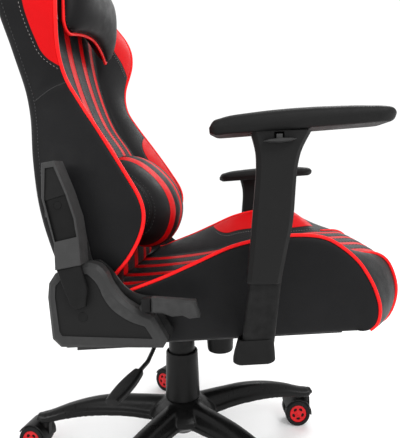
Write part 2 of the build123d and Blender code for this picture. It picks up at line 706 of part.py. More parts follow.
CUSHION_REAR = shifted(REAR, BACK_LAYER)
BACK_HALF = [(0, 432), (150, 432), (150, 1090), (172, 1150), (168, 1200), (140, 1240), (90, 1252), (0, 1256)]
WING_HALF = [(153, 436), (240, 436), (258, 490), (258, 560), (246, 640), (222, 720), (214, 770),
             (226, 830), (250, 900), (254, 950), (240, 1000), (205, 1050), (153, 1085)]

with BuildPart() as back_frame:
    for sign in (-1, 1):
        with BuildSketch(side_plane(sign * 175 - 10)):
            with BuildLine():
                Polyline(*side(rail_profile(REAR[:-2], 3, 22)), close=True)
            make_face()
        extrude(amount=20)
        arm_offset, arm_length = span(sign, PLATE_INNER + 4, PLATE_INNER + 7)
        with BuildSketch(side_plane(arm_offset)):
            with BuildLine():
                Polyline(*side(ARM_OUTLINE), close=True)
            make_face()
        extrude(amount=arm_length)
        spacer_offset, spacer_length = span(sign, 170, PLATE_INNER + 5)
        with BuildSketch(side_plane(spacer_offset)):
            with BuildLine():
                Polyline(*side(spacer_outline(0)), close=True)
            make_face()
        extrude(amount=spacer_length)
    for reach, centre in ((175, (-183, 556)), (175, (-158, 470)), (175, (-269, 1055)), (175, (-236, 805))):
        with BuildSketch(side_plane(-reach)):
            with Locations(side([centre])[0]):
                Circle(8.5)
        extrude(amount=2 * reach)
    with BuildSketch(side_plane(-PLATE_INNER - 10)):
        with Locations(side([RECLINE_PIVOT])[0]):
            Circle(ROD_RADIUS + RUN)
    extrude(amount=2 * PLATE_INNER + 20, mode=Mode.SUBTRACT)
finish(back_frame.part, "back_frame")

with BuildPart() as back_cushion:
    with BuildSketch(side_plane(-180)):
        with BuildLine():
            Spline(*side(CENTRE_FRONT))
            Polyline(*side([CENTRE_FRONT[-1], CUSHION_REAR[0]]))
            Polyline(*side(CUSHION_REAR))
            Polyline(*side([CUSHION_REAR[-1], CENTRE_FRONT[0]]))
        make_face()
    extrude(amount=360)
    with BuildSketch(Plane.XZ.offset(-400)):
        with BuildLine():
            Polyline(*BACK_HALF, close=True)
        make_face()
        mirror(about=Plane.YZ)
        with Locations((-SLOT_X, SLOT_HEIGHT), (SLOT_X, SLOT_HEIGHT)):
            SlotOverall(*SLOT_SIZE, mode=Mode.SUBTRACT)
    extrude(amount=500, mode=Mode.INTERSECT)
finish(back_cushion.part, "back_cushion")

for name, sign in SIDES:
    with BuildPart() as back_bolster:
        with BuildSketch(side_plane(sign * 153)):
            with BuildLine():
                Spline(*side(WING_FRONT))
                Polyline(*side([WING_FRONT[-1], (-134, 440)]))
                Polyline(*side([(-134, 440)] + CUSHION_REAR[1:8] + [WING_FRONT[0]]))
            make_face()
        extrude(amount=sign * 105)
        with BuildSketch(Plane.XZ.offset(-400)):
            with BuildLine():
                Polyline(*[(sign * x, z) for x, z in WING_HALF], close=True)
            make_face()
        extrude(amount=500, mode=Mode.INTERSECT)
        with BuildSketch(side_plane(sign * 153)):
            with BuildLine():
                Polyline(*side(spacer_outline(GAP)), close=True)
            make_face()
        extrude(amount=sign * (PLATE_INNER - 153), mode=Mode.SUBTRACT)
    finish(back_bolster.part, f"back_bolster_{name}")


def tilted_plane(forward, height, lean):
    """Plane parallel to a backrest surface that leans back by some degrees, facing forward."""
    angle = math.radians(lean)
    return Plane(origin=(0, -forward, height), x_dir=(1, 0, 0), z_dir=(0, -math.cos(angle), math.sin(angle)))


SLOT_WALL = 6.0
slot_places = [(-SLOT_X, SLOT_HEIGHT), (SLOT_X, SLOT_HEIGHT)]
with BuildPart() as belt_slot_bezels:
    for surface, lean, thickness in ((-233.5, 5.2, 3), (-287.8, 7.4, -3)):
        with BuildSketch(tilted_plane(surface, SLOT_HEIGHT, lean)):
            with Locations((-SLOT_X, 0), (SLOT_X, 0)):
                SlotOverall(SLOT_SIZE[0] + 20, SLOT_SIZE[1] + 20)
        extrude(amount=thickness)
    with BuildSketch(Plane.XZ.offset(-288.5)):
        with Locations(*slot_places):
            SlotOverall(SLOT_SIZE[0] - 2 * GAP, SLOT_SIZE[1] - 2 * GAP)
    extrude(amount=55)
    with BuildSketch(Plane.XZ.offset(-400)):
        with Locations(*slot_places):
            SlotOverall(SLOT_SIZE[0] - 2 * SLOT_WALL, SLOT_SIZE[1] - 2 * SLOT_WALL)
    extrude(amount=400, mode=Mode.SUBTRACT)
finish(belt_slot_bezels.part, "belt_slot_bezels")


# --- pillows --------------------------------------------------------------------------------
HEAD_FRONT = [(-206, 1043), (-165, 1036), (-140, 1005), (-131, 955), (-137, 900), (-158, 870), (-196, 868)]
HEAD_BACK = [(-196, 868), (-211, 885), (-219, 960), (-223, 1025), (-206, 1043)]
LUMBAR_FRONT = [(-114, 650), (-88, 649), (-62, 637), (-32, 613), (-8, 582), (5, 545), (2, 510), (-14, 476),
                (-44, 458), (-74, 462)]
LUMBAR_BACK = [(-74, 462), (-80, 490), (-94, 560), (-117, 636), (-114, 650)]
HEAD_HALF = 138.0
LUMBAR_HALF = 148.0

for pillow_name, half_width, front_line, back_line in (
        ("head_pillow", HEAD_HALF, HEAD_FRONT, HEAD_BACK),
        ("lumbar_pillow", LUMBAR_HALF, LUMBAR_FRONT, LUMBAR_BACK)):
    with BuildPart() as pillow:
        with BuildSketch(side_plane(-half_width)):
            with BuildLine():
                Spline(*side(front_line))
                Polyline(*side(back_line))
            make_face()
        extrude(amount=2 * half_width)
    finish(pillow.part, pillow_name)
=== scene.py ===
import math

import bmesh
import bpy
from mathutils import Matrix, Vector
from mathutils.bvhtree import BVHTree


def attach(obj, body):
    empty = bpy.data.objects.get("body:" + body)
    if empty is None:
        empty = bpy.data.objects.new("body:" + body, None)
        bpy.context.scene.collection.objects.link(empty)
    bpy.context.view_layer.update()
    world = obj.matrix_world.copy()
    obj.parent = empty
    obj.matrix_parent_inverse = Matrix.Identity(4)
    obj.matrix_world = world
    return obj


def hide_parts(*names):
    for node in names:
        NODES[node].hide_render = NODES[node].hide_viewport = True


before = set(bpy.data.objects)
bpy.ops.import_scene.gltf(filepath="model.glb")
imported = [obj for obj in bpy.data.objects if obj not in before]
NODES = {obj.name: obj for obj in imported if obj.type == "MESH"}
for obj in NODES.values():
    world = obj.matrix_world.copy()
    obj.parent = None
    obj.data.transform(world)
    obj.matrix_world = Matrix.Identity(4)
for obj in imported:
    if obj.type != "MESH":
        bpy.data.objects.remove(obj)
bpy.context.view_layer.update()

# Gaming chair: upholstery, moulded trim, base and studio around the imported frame.
# Metres, in the frame's own axes: +Z up, the chair faces -Y, the sitter's right side is -X.
# Profile points are (forward, height), where forward is -Y.

SIDES = (("right", -1), ("left", 1))


# --- curves ---------------------------------------------------------------------------------
def at(x, forward, height):
    return Vector((x, -forward, height))


def mix(a, b, t):
    return a + (b - a) * t


def smooth(t):
    t = min(max(t, 0.0), 1.0)
    return t * t * (3 - 2 * t)


def spline(points, t):
    """Point of a smooth curve through the points; t runs from 0 to len(points) - 1."""
    last = len(points) - 1
    t = min(max(t, 0.0), last)
    i = min(int(t), last - 1)
    t -= i
    p1, p2 = points[i], points[i + 1]
    p0 = points[i - 1] if i > 0 else [2 * a - b for a, b in zip(p1, p2)]
    p3 = points[i + 2] if i + 2 <= last else [2 * b - a for a, b in zip(p1, p2)]
    return tuple(0.5 * (2 * b + (c - a) * t + (2 * a - 5 * b + 4 * c - d) * t * t
                        + (3 * b - a - 3 * c + d) * t ** 3)
                 for a, b, c, d in zip(p0, p1, p2, p3))


def sample(points, count):
    """count points spread evenly by length along a smooth curve."""
    steps = count * 8
    fine = [spline(points, k * (len(points) - 1) / steps) for k in range(steps + 1)]
    run = [0.0]
    for a, b in zip(fine, fine[1:]):
        run.append(run[-1] + math.dist(a, b))
    out, j = [], 0
    for k in range(count):
        goal = run[-1] * k / (count - 1)
        while j < len(run) - 2 and run[j + 1] < goal:
            j += 1
        part = (goal - run[j]) / ((run[j + 1] - run[j]) or 1)
        out.append(tuple(mix(a, b, part) for a, b in zip(fine[j], fine[j + 1])))
    return out


def value(table, key):
    """Smooth value at a key, from (key, value) pairs in rising order."""
    if key <= table[0][0]:
        return table[0][1]
    if key >= table[-1][0]:
        return table[-1][1]
    i = next(k for k in range(len(table) - 1) if key <= table[k + 1][0])
    (k1, v1), (k2, v2) = table[i], table[i + 1]
    slope = (v2 - v1) / (k2 - k1)
    before = (v1 - table[i - 1][1]) / (k1 - table[i - 1][0]) if i else slope
    after = (table[i + 2][1] - v2) / (table[i + 2][0] - k2) if i + 2 < len(table) else slope
    t, w = (key - k1) / (k2 - k1), k2 - k1
    m1, m2 = (before + slope) / 2, (slope + after) / 2
    return ((2 * t ** 3 - 3 * t * t + 1) * v1 + (t ** 3 - 2 * t * t + t) * m1 * w
            + (3 * t * t - 2 * t ** 3) * v2 + (t ** 3 - t * t) * m2 * w)


def mm(*pairs):
    """Points or table rows given in millimetres, in metres."""
    return [tuple(number / 1000 for number in pair) for pair in pairs]


def by_height(points):
    """(height, forward) table from (forward, height) points, in rising order."""
    return sorted((height, forward) for forward, height in points)


def circle(count):
    """(cosine, sine) of directions spread evenly round a circle."""
    angles = [2 * math.pi * k / count for k in range(count)]
    return [(math.cos(angle), math.sin(angle)) for angle in angles]


def heading(angle):
    """Level direction at an angle from +X, and the one a quarter turn on from it."""
    ahead = Vector((math.cos(angle), math.sin(angle), 0))
    return ahead, Vector((-ahead.y, ahead.x, 0))


# --- meshes ---------------------------------------------------------------------------------
def new_object(name, vertices, faces):
    mesh = bpy.data.meshes.new(name)
    mesh.from_pydata([tuple(v) for v in vertices], [], faces)
    bm = bmesh.new()
    bm.from_mesh(mesh)
    bmesh.ops.recalc_face_normals(bm, faces=bm.faces)
    bm.to_mesh(mesh)
    bm.free()
    mesh.shade_smooth()
    obj = bpy.data.objects.new(name, mesh)
    bpy.context.scene.collection.objects.link(obj)
    return obj


def loft(name, rows, caps="fan", ring=False):
    """Surface through closed rows of equal length; caps fill the two end rows unless it is a ring."""
    width = len(rows[0])
    vertices = [p for row in rows for p in row]
    faces = []
    for r in range(len(rows) if ring else len(rows) - 1):
        after = (r + 1) % len(rows)
        for c in range(width):
            d = (c + 1) % width
            faces.append((r * width + c, r * width + d, after * width + d, after * width + c))
    for r in () if ring else (0, len(rows) - 1):
        if caps == "flat":
            faces.append(tuple(r * width + c for c in range(width)))
        elif caps == "fan":
            vertices.append(sum((Vector(p) for p in rows[r]), Vector()) / width)
            hub = len(vertices) - 1
            faces += [(hub, r * width + c, r * width + (c + 1) % width) for c in range(width)]
    return new_object(name, vertices, faces)


def modify(obj, kind, **settings):
    modifier = obj.modifiers.new(kind.lower(), kind)
    for key, setting in settings.items():
        setattr(modifier, key, setting)
    return modifier


def bake_modifiers(obj):
    """Replace the mesh with its modified shape and drop the modifiers."""
    graph = bpy.context.evaluated_depsgraph_get()
    mesh = bpy.data.meshes.new_from_object(obj.evaluated_get(graph), preserve_all_data_layers=True,
                                           depsgraph=graph)
    obj.modifiers.clear()
    obj.data = mesh


def soften_edges(obj, width=0.001, segments=2, angle=32):
    """Small round on the sharp edges, shaded so that flat faces stay flat."""
    modify(obj, "BEVEL", width=width, segments=segments, limit_method="ANGLE",
           angle_limit=math.radians(angle), use_clamp_overlap=True)
    modify(obj, "WEIGHTED_NORMAL", keep_sharp=False, weight=80)


def store(obj, name, numbers):
    """Keep one number per vertex on the mesh, for the materials to read."""
    obj.data.attributes.new(name, "FLOAT", "POINT").data.foreach_set("value", numbers)


def tube(name, points, radius, ring=False):
    """Round cord through points."""
    points = [Vector(p) for p in points]
    last = len(points) - 1
    rows, normal = [], None
    for i, p in enumerate(points):
        ahead = points[(i + 1) % len(points)] if ring else points[min(i + 1, last)]
        behind = points[i - 1] if ring else points[max(i - 1, 0)]
        tangent = (ahead - behind).normalized()
        if normal is None:
            normal = tangent.orthogonal().normalized()
        normal = (normal - tangent * normal.dot(tangent)).normalized()
        across = tangent.cross(normal)
        rows.append([p + (normal * cos + across * sin) * radius for cos, sin in circle(10)])
    return loft(name, rows, ring=ring)


def join(name, objects):
    """Merge mesh objects into one, keeping their materials."""
    with bpy.context.temp_override(active_object=objects[0], selected_editable_objects=objects):
        bpy.ops.object.join()
    objects[0].name = objects[0].data.name = name
    return objects[0]


def cut(obj, cutter):
    """Take the cutter's volume out of the object; the new faces keep the cutter's material."""
    modify(obj, "BOOLEAN", operation="DIFFERENCE", object=cutter, solver="EXACT",
           material_mode="TRANSFER")
    bake_modifiers(obj)
    bpy.data.objects.remove(cutter)


def paint(obj, *materials):
    obj.data.materials.clear()
    for material in materials:
        obj.data.materials.append(material)
    return obj


def prism(name, outline, sign, inner, outer, border=0.0, bevel=0.0):
    """Side-view outline extruded between two distances from the middle plane.

    With a border, its outer edge slopes: the outline draws in by border over the last bevel."""
    rows = [[at(sign * inner, *p) for p in outline]]
    if border:
        rows.append([at(sign * (outer - bevel), *p) for p in outline])
        rows.append([at(sign * outer, *p) for p in inset(outline, border)])
    else:
        rows.append([at(sign * outer, *p) for p in outline])
    return loft(name, rows, caps="flat")


def lathe(name, profile, centre=(0.0, 0.0)):
    """Solid of revolution about an upright axis at (x, forward), from (radius, height) pairs."""
    rows = []
    for radius, height in profile:
        radius = max(radius, 0.0005)
        rows.append([at(centre[0] + radius * cos, centre[1] + radius * sin, height)
                     for cos, sin in circle(48)])
    return loft(name, rows, caps="flat")


def rounded_ring(centre, half_x, half_forward, corner, height):
    """Level rounded rectangle about (x, forward); height is a number or a function of forward."""
    ring = []
    for quarter, (sx, sf) in enumerate(((1, 1), (-1, 1), (-1, -1), (1, -1))):
        for k in range(6):
            angle = math.pi / 2 * (quarter + k / 5)
            x = centre[0] + sx * (half_x - corner) + corner * math.cos(angle)
            forward = centre[1] + sf * (half_forward - corner) + corner * math.sin(angle)
            ring.append(at(x, forward, height(forward) if callable(height) else height))
    return ring


def place_piece(obj, body, slot_name, *nodes):
    """Fix a finished piece to a body, in place of the frame's own parts if any are named."""
    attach(obj, body)
    if nodes:
        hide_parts(*nodes)
    return obj


def inset(outline, distance):
    """Closed outline drawn in by a distance, with mitred corners."""
    count = len(outline)
    area = sum(outline[i - 1][0] * outline[i][1] - outline[i][0] * outline[i - 1][1]
               for i in range(count))
    turn = 1 if area > 0 else -1
    result = []
    for i in range(count):
        before, here, after = (Vector(outline[(i + k) % count]) for k in (-1, 0, 1))
        first, second = (here - before).normalized(), (after - here).normalized()
        n1, n2 = (Vector((-d.y, d.x)) * turn for d in (first, second))
        bisector = (n1 + n2).normalized()
        result.append(tuple(here + bisector * distance / max(bisector.dot(n1), 0.5)))
    return result


# --- materials ------------------------------------------------------------------------------
def shader(name, **inputs):
    """New material; inputs are constant values for its Principled shader."""
    material = bpy.data.materials.new(name)
    material.use_nodes = True
    bsdf = material.node_tree.nodes["Principled BSDF"]
    for key, setting in inputs.items():
        bsdf.inputs[key.replace("_", " ")].default_value = setting
    return material, bsdf


def add(material, kind, inputs=(), **settings):
    """New node; inputs maps a socket's name or number to a value or to another node's socket."""
    node = material.node_tree.nodes.new(kind)
    for key, setting in settings.items():
        setattr(node, key, setting)
    for key, source in dict(inputs).items():
        if isinstance(source, bpy.types.NodeSocket):
            material.node_tree.links.new(source, node.inputs[key])
        else:
            node.inputs[key].default_value = source
    return node


def link(material, source, target):
    material.node_tree.links.new(source, target)


def place(material):
    return add(material, "ShaderNodeTexCoord").outputs["Object"]


def noise(material, scale, detail=3.0, roughness=0.55):
    return add(material, "ShaderNodeTexNoise", {"Vector": place(material), "Scale": scale,
                                                "Detail": detail, "Roughness": roughness}).outputs["Fac"]


def cells(material, scale):
    return add(material, "ShaderNodeTexVoronoi",
               {"Vector": place(material), "Scale": scale}).outputs["Distance"]


def math_node(material, operation, *inputs):
    return add(material, "ShaderNodeMath", dict(enumerate(inputs)), operation=operation).outputs[0]


def ramp(material, source, low, high, to_low=0.0, to_high=1.0):
    inputs = {"Value": source, "From Min": low, "From Max": high, "To Min": to_low, "To Max": to_high}
    return add(material, "ShaderNodeMapRange", inputs).outputs["Result"]


def blend_colour(material, factor, first, second):
    node = add(material, "ShaderNodeMix", data_type="RGBA")
    sockets = {s.identifier: s for s in node.inputs}
    for socket, source in ((sockets["Factor_Float"], factor), (sockets["A_Color"], first),
                           (sockets["B_Color"], second)):
        if isinstance(source, bpy.types.NodeSocket):
            link(material, source, socket)
        else:
            socket.default_value = source
    return next(s for s in node.outputs if s.identifier == "Result_Color")


def bump(material, bsdf, height, distance, strength=1.0):
    node = add(material, "ShaderNodeBump", {"Height": height, "Distance": distance, "Strength": strength})
    link(material, node.outputs["Normal"], bsdf.inputs["Normal"])


def edge_wear(material):
    """1 on convex edges, 0 elsewhere, broken up by noise."""
    geometry = add(material, "ShaderNodeNewGeometry").outputs["Pointiness"]
    edge = ramp(material, geometry, 0.52, 0.60)
    return math_node(material, "MULTIPLY", edge, ramp(material, noise(material, 90), 0.35, 0.7))


def grey(level):
    return (level, level, level, 1)


# colours, shine and pitch of the coated hide; the pierced black is painted lighter, a painted highlight for
# the light caught on the hide between its holes
BLACK_HIDE = (0.0050, 0.0050, 0.0054, 1)
BLACK_HIDE_LIGHT = (0.0075, 0.0075, 0.0080, 1)
RED_HIDE = (0.50, 0.0001, 0.0016, 1)
RED_HIDE_LIGHT = (0.58, 0.0003, 0.0026, 1)
HIDE_SHINE = 0.11
# painted highlight: lighter black for the perforated zone, standing in for light caught between the holes
PIERCED_HIGHLIGHT = (0.017, 0.017, 0.018, 1)
GRAINS_PER_METRE = 720.0
HOLES_PER_METRE = 200.0
STITCH_PALE = (0.22, 0.20, 0.19, 1)


def hide_grain(material):
    """Height of the pressed grain: small pebbles between fine creases, over slow waviness."""
    pebbles = cells(material, GRAINS_PER_METRE)
    creases = noise(material, 240, 5.0, 0.7)
    waves = noise(material, 26, 2.0)
    fine = math_node(material, "ADD", math_node(material, "MULTIPLY", pebbles, -0.5),
                     math_node(material, "MULTIPLY", creases, 0.5))
    return math_node(material, "ADD", fine, math_node(material, "MULTIPLY", waves, 0.6))


def leather(name, dark, light, rough):
    """Coated hide in one colour."""
    material, bsdf = shader(name, Specular_IOR_Level=HIDE_SHINE)
    tone = ramp(material, noise(material, 9, 4.0), 0.3, 0.7)
    colour = blend_colour(material, tone, dark, light)
    worn = tuple(min(1.0, c * 1.5 + 0.01) for c in light[:3]) + (1,)
    wear = math_node(material, "MULTIPLY", edge_wear(material), 0.35)
    colour = blend_colour(material, wear, colour, worn)
    link(material, colour, bsdf.inputs["Base Color"])
    link(material, ramp(material, noise(material, 45, 4.0), 0.3, 0.7, *rough), bsdf.inputs["Roughness"])
    bump(material, bsdf, hide_grain(material), 0.00035, 0.55)
    return material


def upholstery():
    """Hide of the seat and back: red where the mesh's red number is above zero, with a sunk seam
    along that border, and rows of pinholes where its perforated number is above zero, with the
    black around them painted lighter as a painted highlight."""
    material, bsdf = shader("upholstery", Specular_IOR_Level=HIDE_SHINE)

    def stored(name):
        return add(material, "ShaderNodeAttribute", attribute_name=name).outputs["Fac"]

    red = stored("red")
    is_red = ramp(material, red, -0.0002, 0.0002)
    tone = ramp(material, noise(material, 9, 4.0), 0.3, 0.7)
    black = blend_colour(material, tone, BLACK_HIDE, BLACK_HIDE_LIGHT)
    pierced = ramp(material, stored("perforated"), 0.0008, 0.0016)
    # painted highlight: the perforated zone's black is lightened where light would catch between the holes
    black = blend_colour(material, pierced, black, PIERCED_HIGHLIGHT)
    colour = blend_colour(material, is_red, black, blend_colour(material, tone, RED_HIDE, RED_HIDE_LIGHT))
    seam = ramp(material, math_node(material, "ABSOLUTE", red), 0.0004, 0.0016)
    colour = blend_colour(material, seam, grey(0.004), colour)

    grid = add(material, "ShaderNodeCombineXYZ", {"X": stored("across"), "Y": stored("along")})
    holes = add(material, "ShaderNodeTexVoronoi",
                {"Vector": grid.outputs[0], "Scale": HOLES_PER_METRE, "Randomness": 0.0},
                voronoi_dimensions="2D").outputs["Distance"]
    hole = math_node(material, "MULTIPLY", ramp(material, holes, 0.30, 0.20), pierced)
    hole = math_node(material, "MULTIPLY", hole, math_node(material, "SUBTRACT", 1.0, is_red))
    colour = blend_colour(material, hole, colour, grey(0.002))
    link(material, colour, bsdf.inputs["Base Color"])
    rough = ramp(material, noise(material, 45, 4.0), 0.3, 0.7, 0.40, 0.54)
    link(material, rough, bsdf.inputs["Roughness"])
    height = math_node(material, "ADD", hide_grain(material), math_node(material, "MULTIPLY", seam, 3.0))
    height = math_node(material, "SUBTRACT", height, math_node(material, "MULTIPLY", hole, 2.0))
    bump(material, bsdf, height, 0.00035, 0.55)
    return material


def plastic(name, dark, light, rough, texture, depth, worn):
    """Moulded plastic between two greys, with a fine spark-eroded texture and paler edges."""
    material, bsdf = shader(name, Specular_IOR_Level=0.13)
    speckle = ramp(material, noise(material, texture, 2.0), 0.3, 0.7)
    colour = blend_colour(material, math_node(material, "MULTIPLY", speckle, 0.6), grey(dark), grey(light))
    wear = math_node(material, "MULTIPLY", edge_wear(material), 0.5)
    colour = blend_colour(material, wear, colour, grey(light + worn))
    link(material, colour, bsdf.inputs["Base Color"])
    link(material, ramp(material, noise(material, 60, 5.0), 0.3, 0.7, *rough), bsdf.inputs["Roughness"])
    bump(material, bsdf, noise(material, texture, 3.0), depth, 0.6)
    return material


def metal(name, colour, rough, brushed=0.0):
    """Ground or plated steel, with a faint turning pattern around the upright axis."""
    material, bsdf = shader(name, Metallic=1.0)
    tone = ramp(material, noise(material, 30, 5.0), 0.3, 0.7)
    link(material, blend_colour(material, tone, grey(colour * 0.8), grey(colour)), bsdf.inputs["Base Color"])
    link(material, ramp(material, noise(material, 140, 4.0), 0.3, 0.7, *rough), bsdf.inputs["Roughness"])
    stretch = add(material, "ShaderNodeMapping", {"Vector": place(material), "Scale": (1, 1, 60)})
    lines = add(material, "ShaderNodeTexNoise", {"Vector": stretch.outputs[0], "Scale": 30.0, "Detail": 4.0})
    bump(material, bsdf, lines.outputs["Fac"], 0.00005, brushed)
    return material


def powder_coat():
    """Black powder-coated steel: an orange-peel skin."""
    material, bsdf = shader("powder_coat", Specular_IOR_Level=0.3)
    tone = ramp(material, noise(material, 25, 4.0), 0.3, 0.7)
    colour = blend_colour(material, tone, grey(0.006), grey(0.011))
    worn = math_node(material, "MULTIPLY", edge_wear(material), 0.6)
    colour = blend_colour(material, worn, colour, grey(0.12))
    link(material, colour, bsdf.inputs["Base Color"])
    link(material, ramp(material, noise(material, 80, 4.0), 0.3, 0.7, 0.34, 0.46), bsdf.inputs["Roughness"])
    bump(material, bsdf, noise(material, 500, 2.0), 0.0002, 0.5)
    return material


def webbing():
    """Woven black strap."""
    material, bsdf = shader("webbing", Roughness=0.8, Sheen_Weight=0.3)
    threads = [add(material, "ShaderNodeTexWave",
                   {"Vector": place(material), "Scale": 260.0, "Distortion": 0.6},
                   bands_direction=direction).outputs["Fac"] for direction in "ZX"]
    both = math_node(material, "MULTIPLY", *threads)
    link(material, blend_colour(material, both, grey(0.010), grey(0.035)), bsdf.inputs["Base Color"])
    bump(material, bsdf, both, 0.0004, 0.8)
    return material


def thread(name, colour):
    """Twisted sewing thread."""
    material, bsdf = shader(name, Roughness=0.7, Sheen_Weight=0.2)
    darker = tuple(c * 0.6 for c in colour[:3]) + (1,)
    link(material, blend_colour(material, noise(material, 900), darker, colour), bsdf.inputs["Base Color"])
    bump(material, bsdf, noise(material, 1500), 0.0002, 0.6)
    return material


def red_plastic():
    """Glossy red moulding of the caster caps."""
    material, bsdf = shader("red_plastic", Specular_IOR_Level=0.3)
    tone = ramp(material, noise(material, 60, 3.0), 0.3, 0.7)
    colour = blend_colour(material, tone, (0.50, 0.001, 0.004, 1), (0.60, 0.003, 0.007, 1))
    link(material, colour, bsdf.inputs["Base Color"])
    link(material, ramp(material, noise(material, 90), 0.3, 0.7, 0.28, 0.40), bsdf.inputs["Roughness"])
    bump(material, bsdf, noise(material, 700), 0.0001, 0.5)
    return material


MATERIAL = {
    "upholstery": upholstery(),
    "piping": leather("red_piping", (0.78, 0.006, 0.008, 1), (0.88, 0.016, 0.016, 1), (0.34, 0.46)),
    "pad": plastic("pad_foam", 0.006, 0.010, (0.50, 0.62), 900.0, 0.00020, 0.03),
    "arm": plastic("arm_plastic", 0.005, 0.011, (0.42, 0.55), 1100.0, 0.00022, 0.04),
    "nylon": plastic("base_nylon", 0.0045, 0.008, (0.24, 0.36), 700.0, 0.00008, 0.03),
    "dark_trim": plastic("dark_trim", 0.0060, 0.0095, (0.50, 0.62), 1300.0, 0.00020, 0.03),
    "deep_trim": plastic("deep_trim", 0.0035, 0.0060, (0.50, 0.65), 1300.0, 0.00020, 0.02),
    "pale_trim": plastic("pale_trim", 0.024, 0.034, (0.42, 0.55), 1300.0, 0.00018, 0.06),
    "pale_band": plastic("pale_band", 0.030, 0.042, (0.44, 0.56), 1300.0, 0.00018, 0.05),
    "black_plastic": plastic("black_plastic", 0.0055, 0.0095, (0.34, 0.48), 1200.0, 0.00015, 0.04),
    "tread": plastic("caster_tread", 0.008, 0.014, (0.55, 0.70), 600.0, 0.00020, 0.03),
    "red_plastic": red_plastic(),
    "coat": powder_coat(),
    "steel": metal("ground_steel", 0.62, (0.22, 0.34), 0.3),
    "bolt": metal("bolt_steel", 0.30, (0.30, 0.45)),
    "webbing": webbing(),
    "pale_thread": thread("pale_thread", STITCH_PALE),
    "dark_thread": thread("dark_thread", (0.014, 0.014, 0.015, 1)),
    "seam": thread("seam_shadow", (0.0012, 0.0012, 0.0013, 1)),
}


# --- upholstered shells ---------------------------------------------------------------------
# A shell is a stack of closed cross-sections. Half a section is a list of knots from the middle
# of its front to the middle of its rear: (x, forward, height, give, red, perforated, across).
# give is how far the stuffing may push that knot out; it is 0 on seams, which stay put.
PRESSURE = 4.0
CLOTH_FRAMES = 20
LEAST_SWELL = 0.6                 # share of the allowed swelling that every panel reaches
SEAM_GIVE = 0.0003                # knots that may move less than this are held
STRIPE_GIVE = 0.0035              # how far a striped panel may swell
OFF = -0.01                       # red or perforated number of a plain black knot


def puff(t):
    """Crown of a stuffed panel: 0 on its two seams, 1 in its middle."""
    return max(4 * t * (1 - t), 0.0) ** 0.62


def panel(start, end, segments, give, red=None, perforated=False, last=False):
    """Knots from a start point up to an end point (x, forward, height)."""
    knots = []
    for k in range(segments + (1 if last else 0)):
        t = k / segments
        point = tuple(mix(a, b, t) for a, b in zip(start, end))
        crimson = red(t) if red else OFF
        edge = min(t, 1 - t) * math.dist(start, end)
        knots.append(point + (give * puff(t), crimson, edge if perforated else OFF, point[0]))
    return knots


def stripe_knots(x_to_point, edges, segments, give):
    """Knots of the middle panels, red and black in turn between sewn edges."""
    knots = []
    for k in range(len(edges) - 1):
        half_first = k == 0
        for i in range(segments[k]):
            x = mix(edges[k], edges[k + 1], i / segments[k])
            if half_first:
                t = 0.5 + 0.5 * x / edges[1]
                edge = edges[1] - x
            else:
                t = i / segments[k]
                edge = min(x - edges[k], edges[k + 1] - x)
            is_red = k % 2 == 1
            knots.append(x_to_point(x) + (give * puff(t), edge if is_red else -edge,
                                          OFF if is_red else edge, x))
    return knots


def full_loop(half):
    """Both sides of a section, from the front middle round by +X."""
    inner = half[1:-1]
    return half[:1] + inner + half[-1:] + [(-k[0],) + k[1:] for k in reversed(inner)]


def inflate(obj, give, name):
    """Stuff a cloth skin: seams (give 0) are held, panels swell by up to give."""
    rest = [v.co.copy() for v in obj.data.vertices]
    obj.data.update()
    normals = [n.vector.copy() for n in obj.data.vertex_normals]
    held = obj.vertex_groups.new(name="held")
    for index, g in enumerate(give):
        held.add([index], 1.0 if g <= SEAM_GIVE else 0.0, "REPLACE")
    cloth = obj.modifiers.new(name, "CLOTH")
    settings = cloth.settings
    settings.quality = 5
    settings.mass = 0.25
    settings.tension_stiffness = settings.compression_stiffness = 8.0
    settings.shear_stiffness = 4.0
    settings.bending_stiffness = 0.6
    settings.use_pressure = True
    settings.uniform_pressure_force = PRESSURE
    settings.effector_weights.gravity = 0.0
    settings.vertex_group_mass = "held"
    cloth.point_cache.frame_start = 1
    cloth.point_cache.frame_end = CLOTH_FRAMES
    for step in range(1, CLOTH_FRAMES + 1):
        bpy.context.scene.frame_set(step)
    graph = bpy.context.evaluated_depsgraph_get()
    swollen = [v.co.copy() for v in obj.evaluated_get(graph).to_mesh().vertices]
    obj.modifiers.clear()
    bpy.context.scene.frame_set(1)
    obj.vertex_groups.clear()
    travel = []
    for v, start, end, g, n in zip(obj.data.vertices, rest, swollen, give, normals):
        move = end - start
        travel.append(move.length)
        move += n * max(LEAST_SWELL * g - move.dot(n), 0.0)       # a stuffed panel never sinks
        v.co = start + (move * min(1.0, g / move.length) if move.length > 1e-9 else move * 0)
    print("cloth", name, "mean travel", round(sum(travel) / len(travel), 4), "max", round(max(travel), 4))


def shell(name, loops, material, along):
    """Stuffed shell from closed loops of knots; along gives each loop's distance up the panel."""
    rows = [[at(*knot[:3]) for knot in loop] for loop in loops]
    obj = loft(name, rows)
    hubs = [(0, 0, 0, 0, OFF, OFF, 0)] * 2      # middle points of the two end caps
    knots = [knot for loop in loops for knot in loop] + hubs
    runs = [run for loop, run in zip(loops, along) for _ in loop] + [0.0] * len(hubs)
    store(obj, "red", [k[4] for k in knots])
    store(obj, "perforated", [k[5] for k in knots])
    store(obj, "across", [k[6] for k in knots])
    store(obj, "along", runs)
    inflate(obj, [k[3] for k in knots], name)
    modify(obj, "SUBSURF", levels=1, render_levels=1)
    bake_modifiers(obj)
    return paint(obj, material)


def surface_of(obj):
    bm = bmesh.new()
    bm.from_mesh(obj.data)
    tree = BVHTree.FromBMesh(bm)
    bm.free()
    return tree


STITCH_PITCH = 0.0062
STITCH_LENGTH = 0.0036
STITCH_WIDTH = 0.0009
STITCH_RISE = 0.0008              # from the surface to a stitch's top, and to its sunk underside


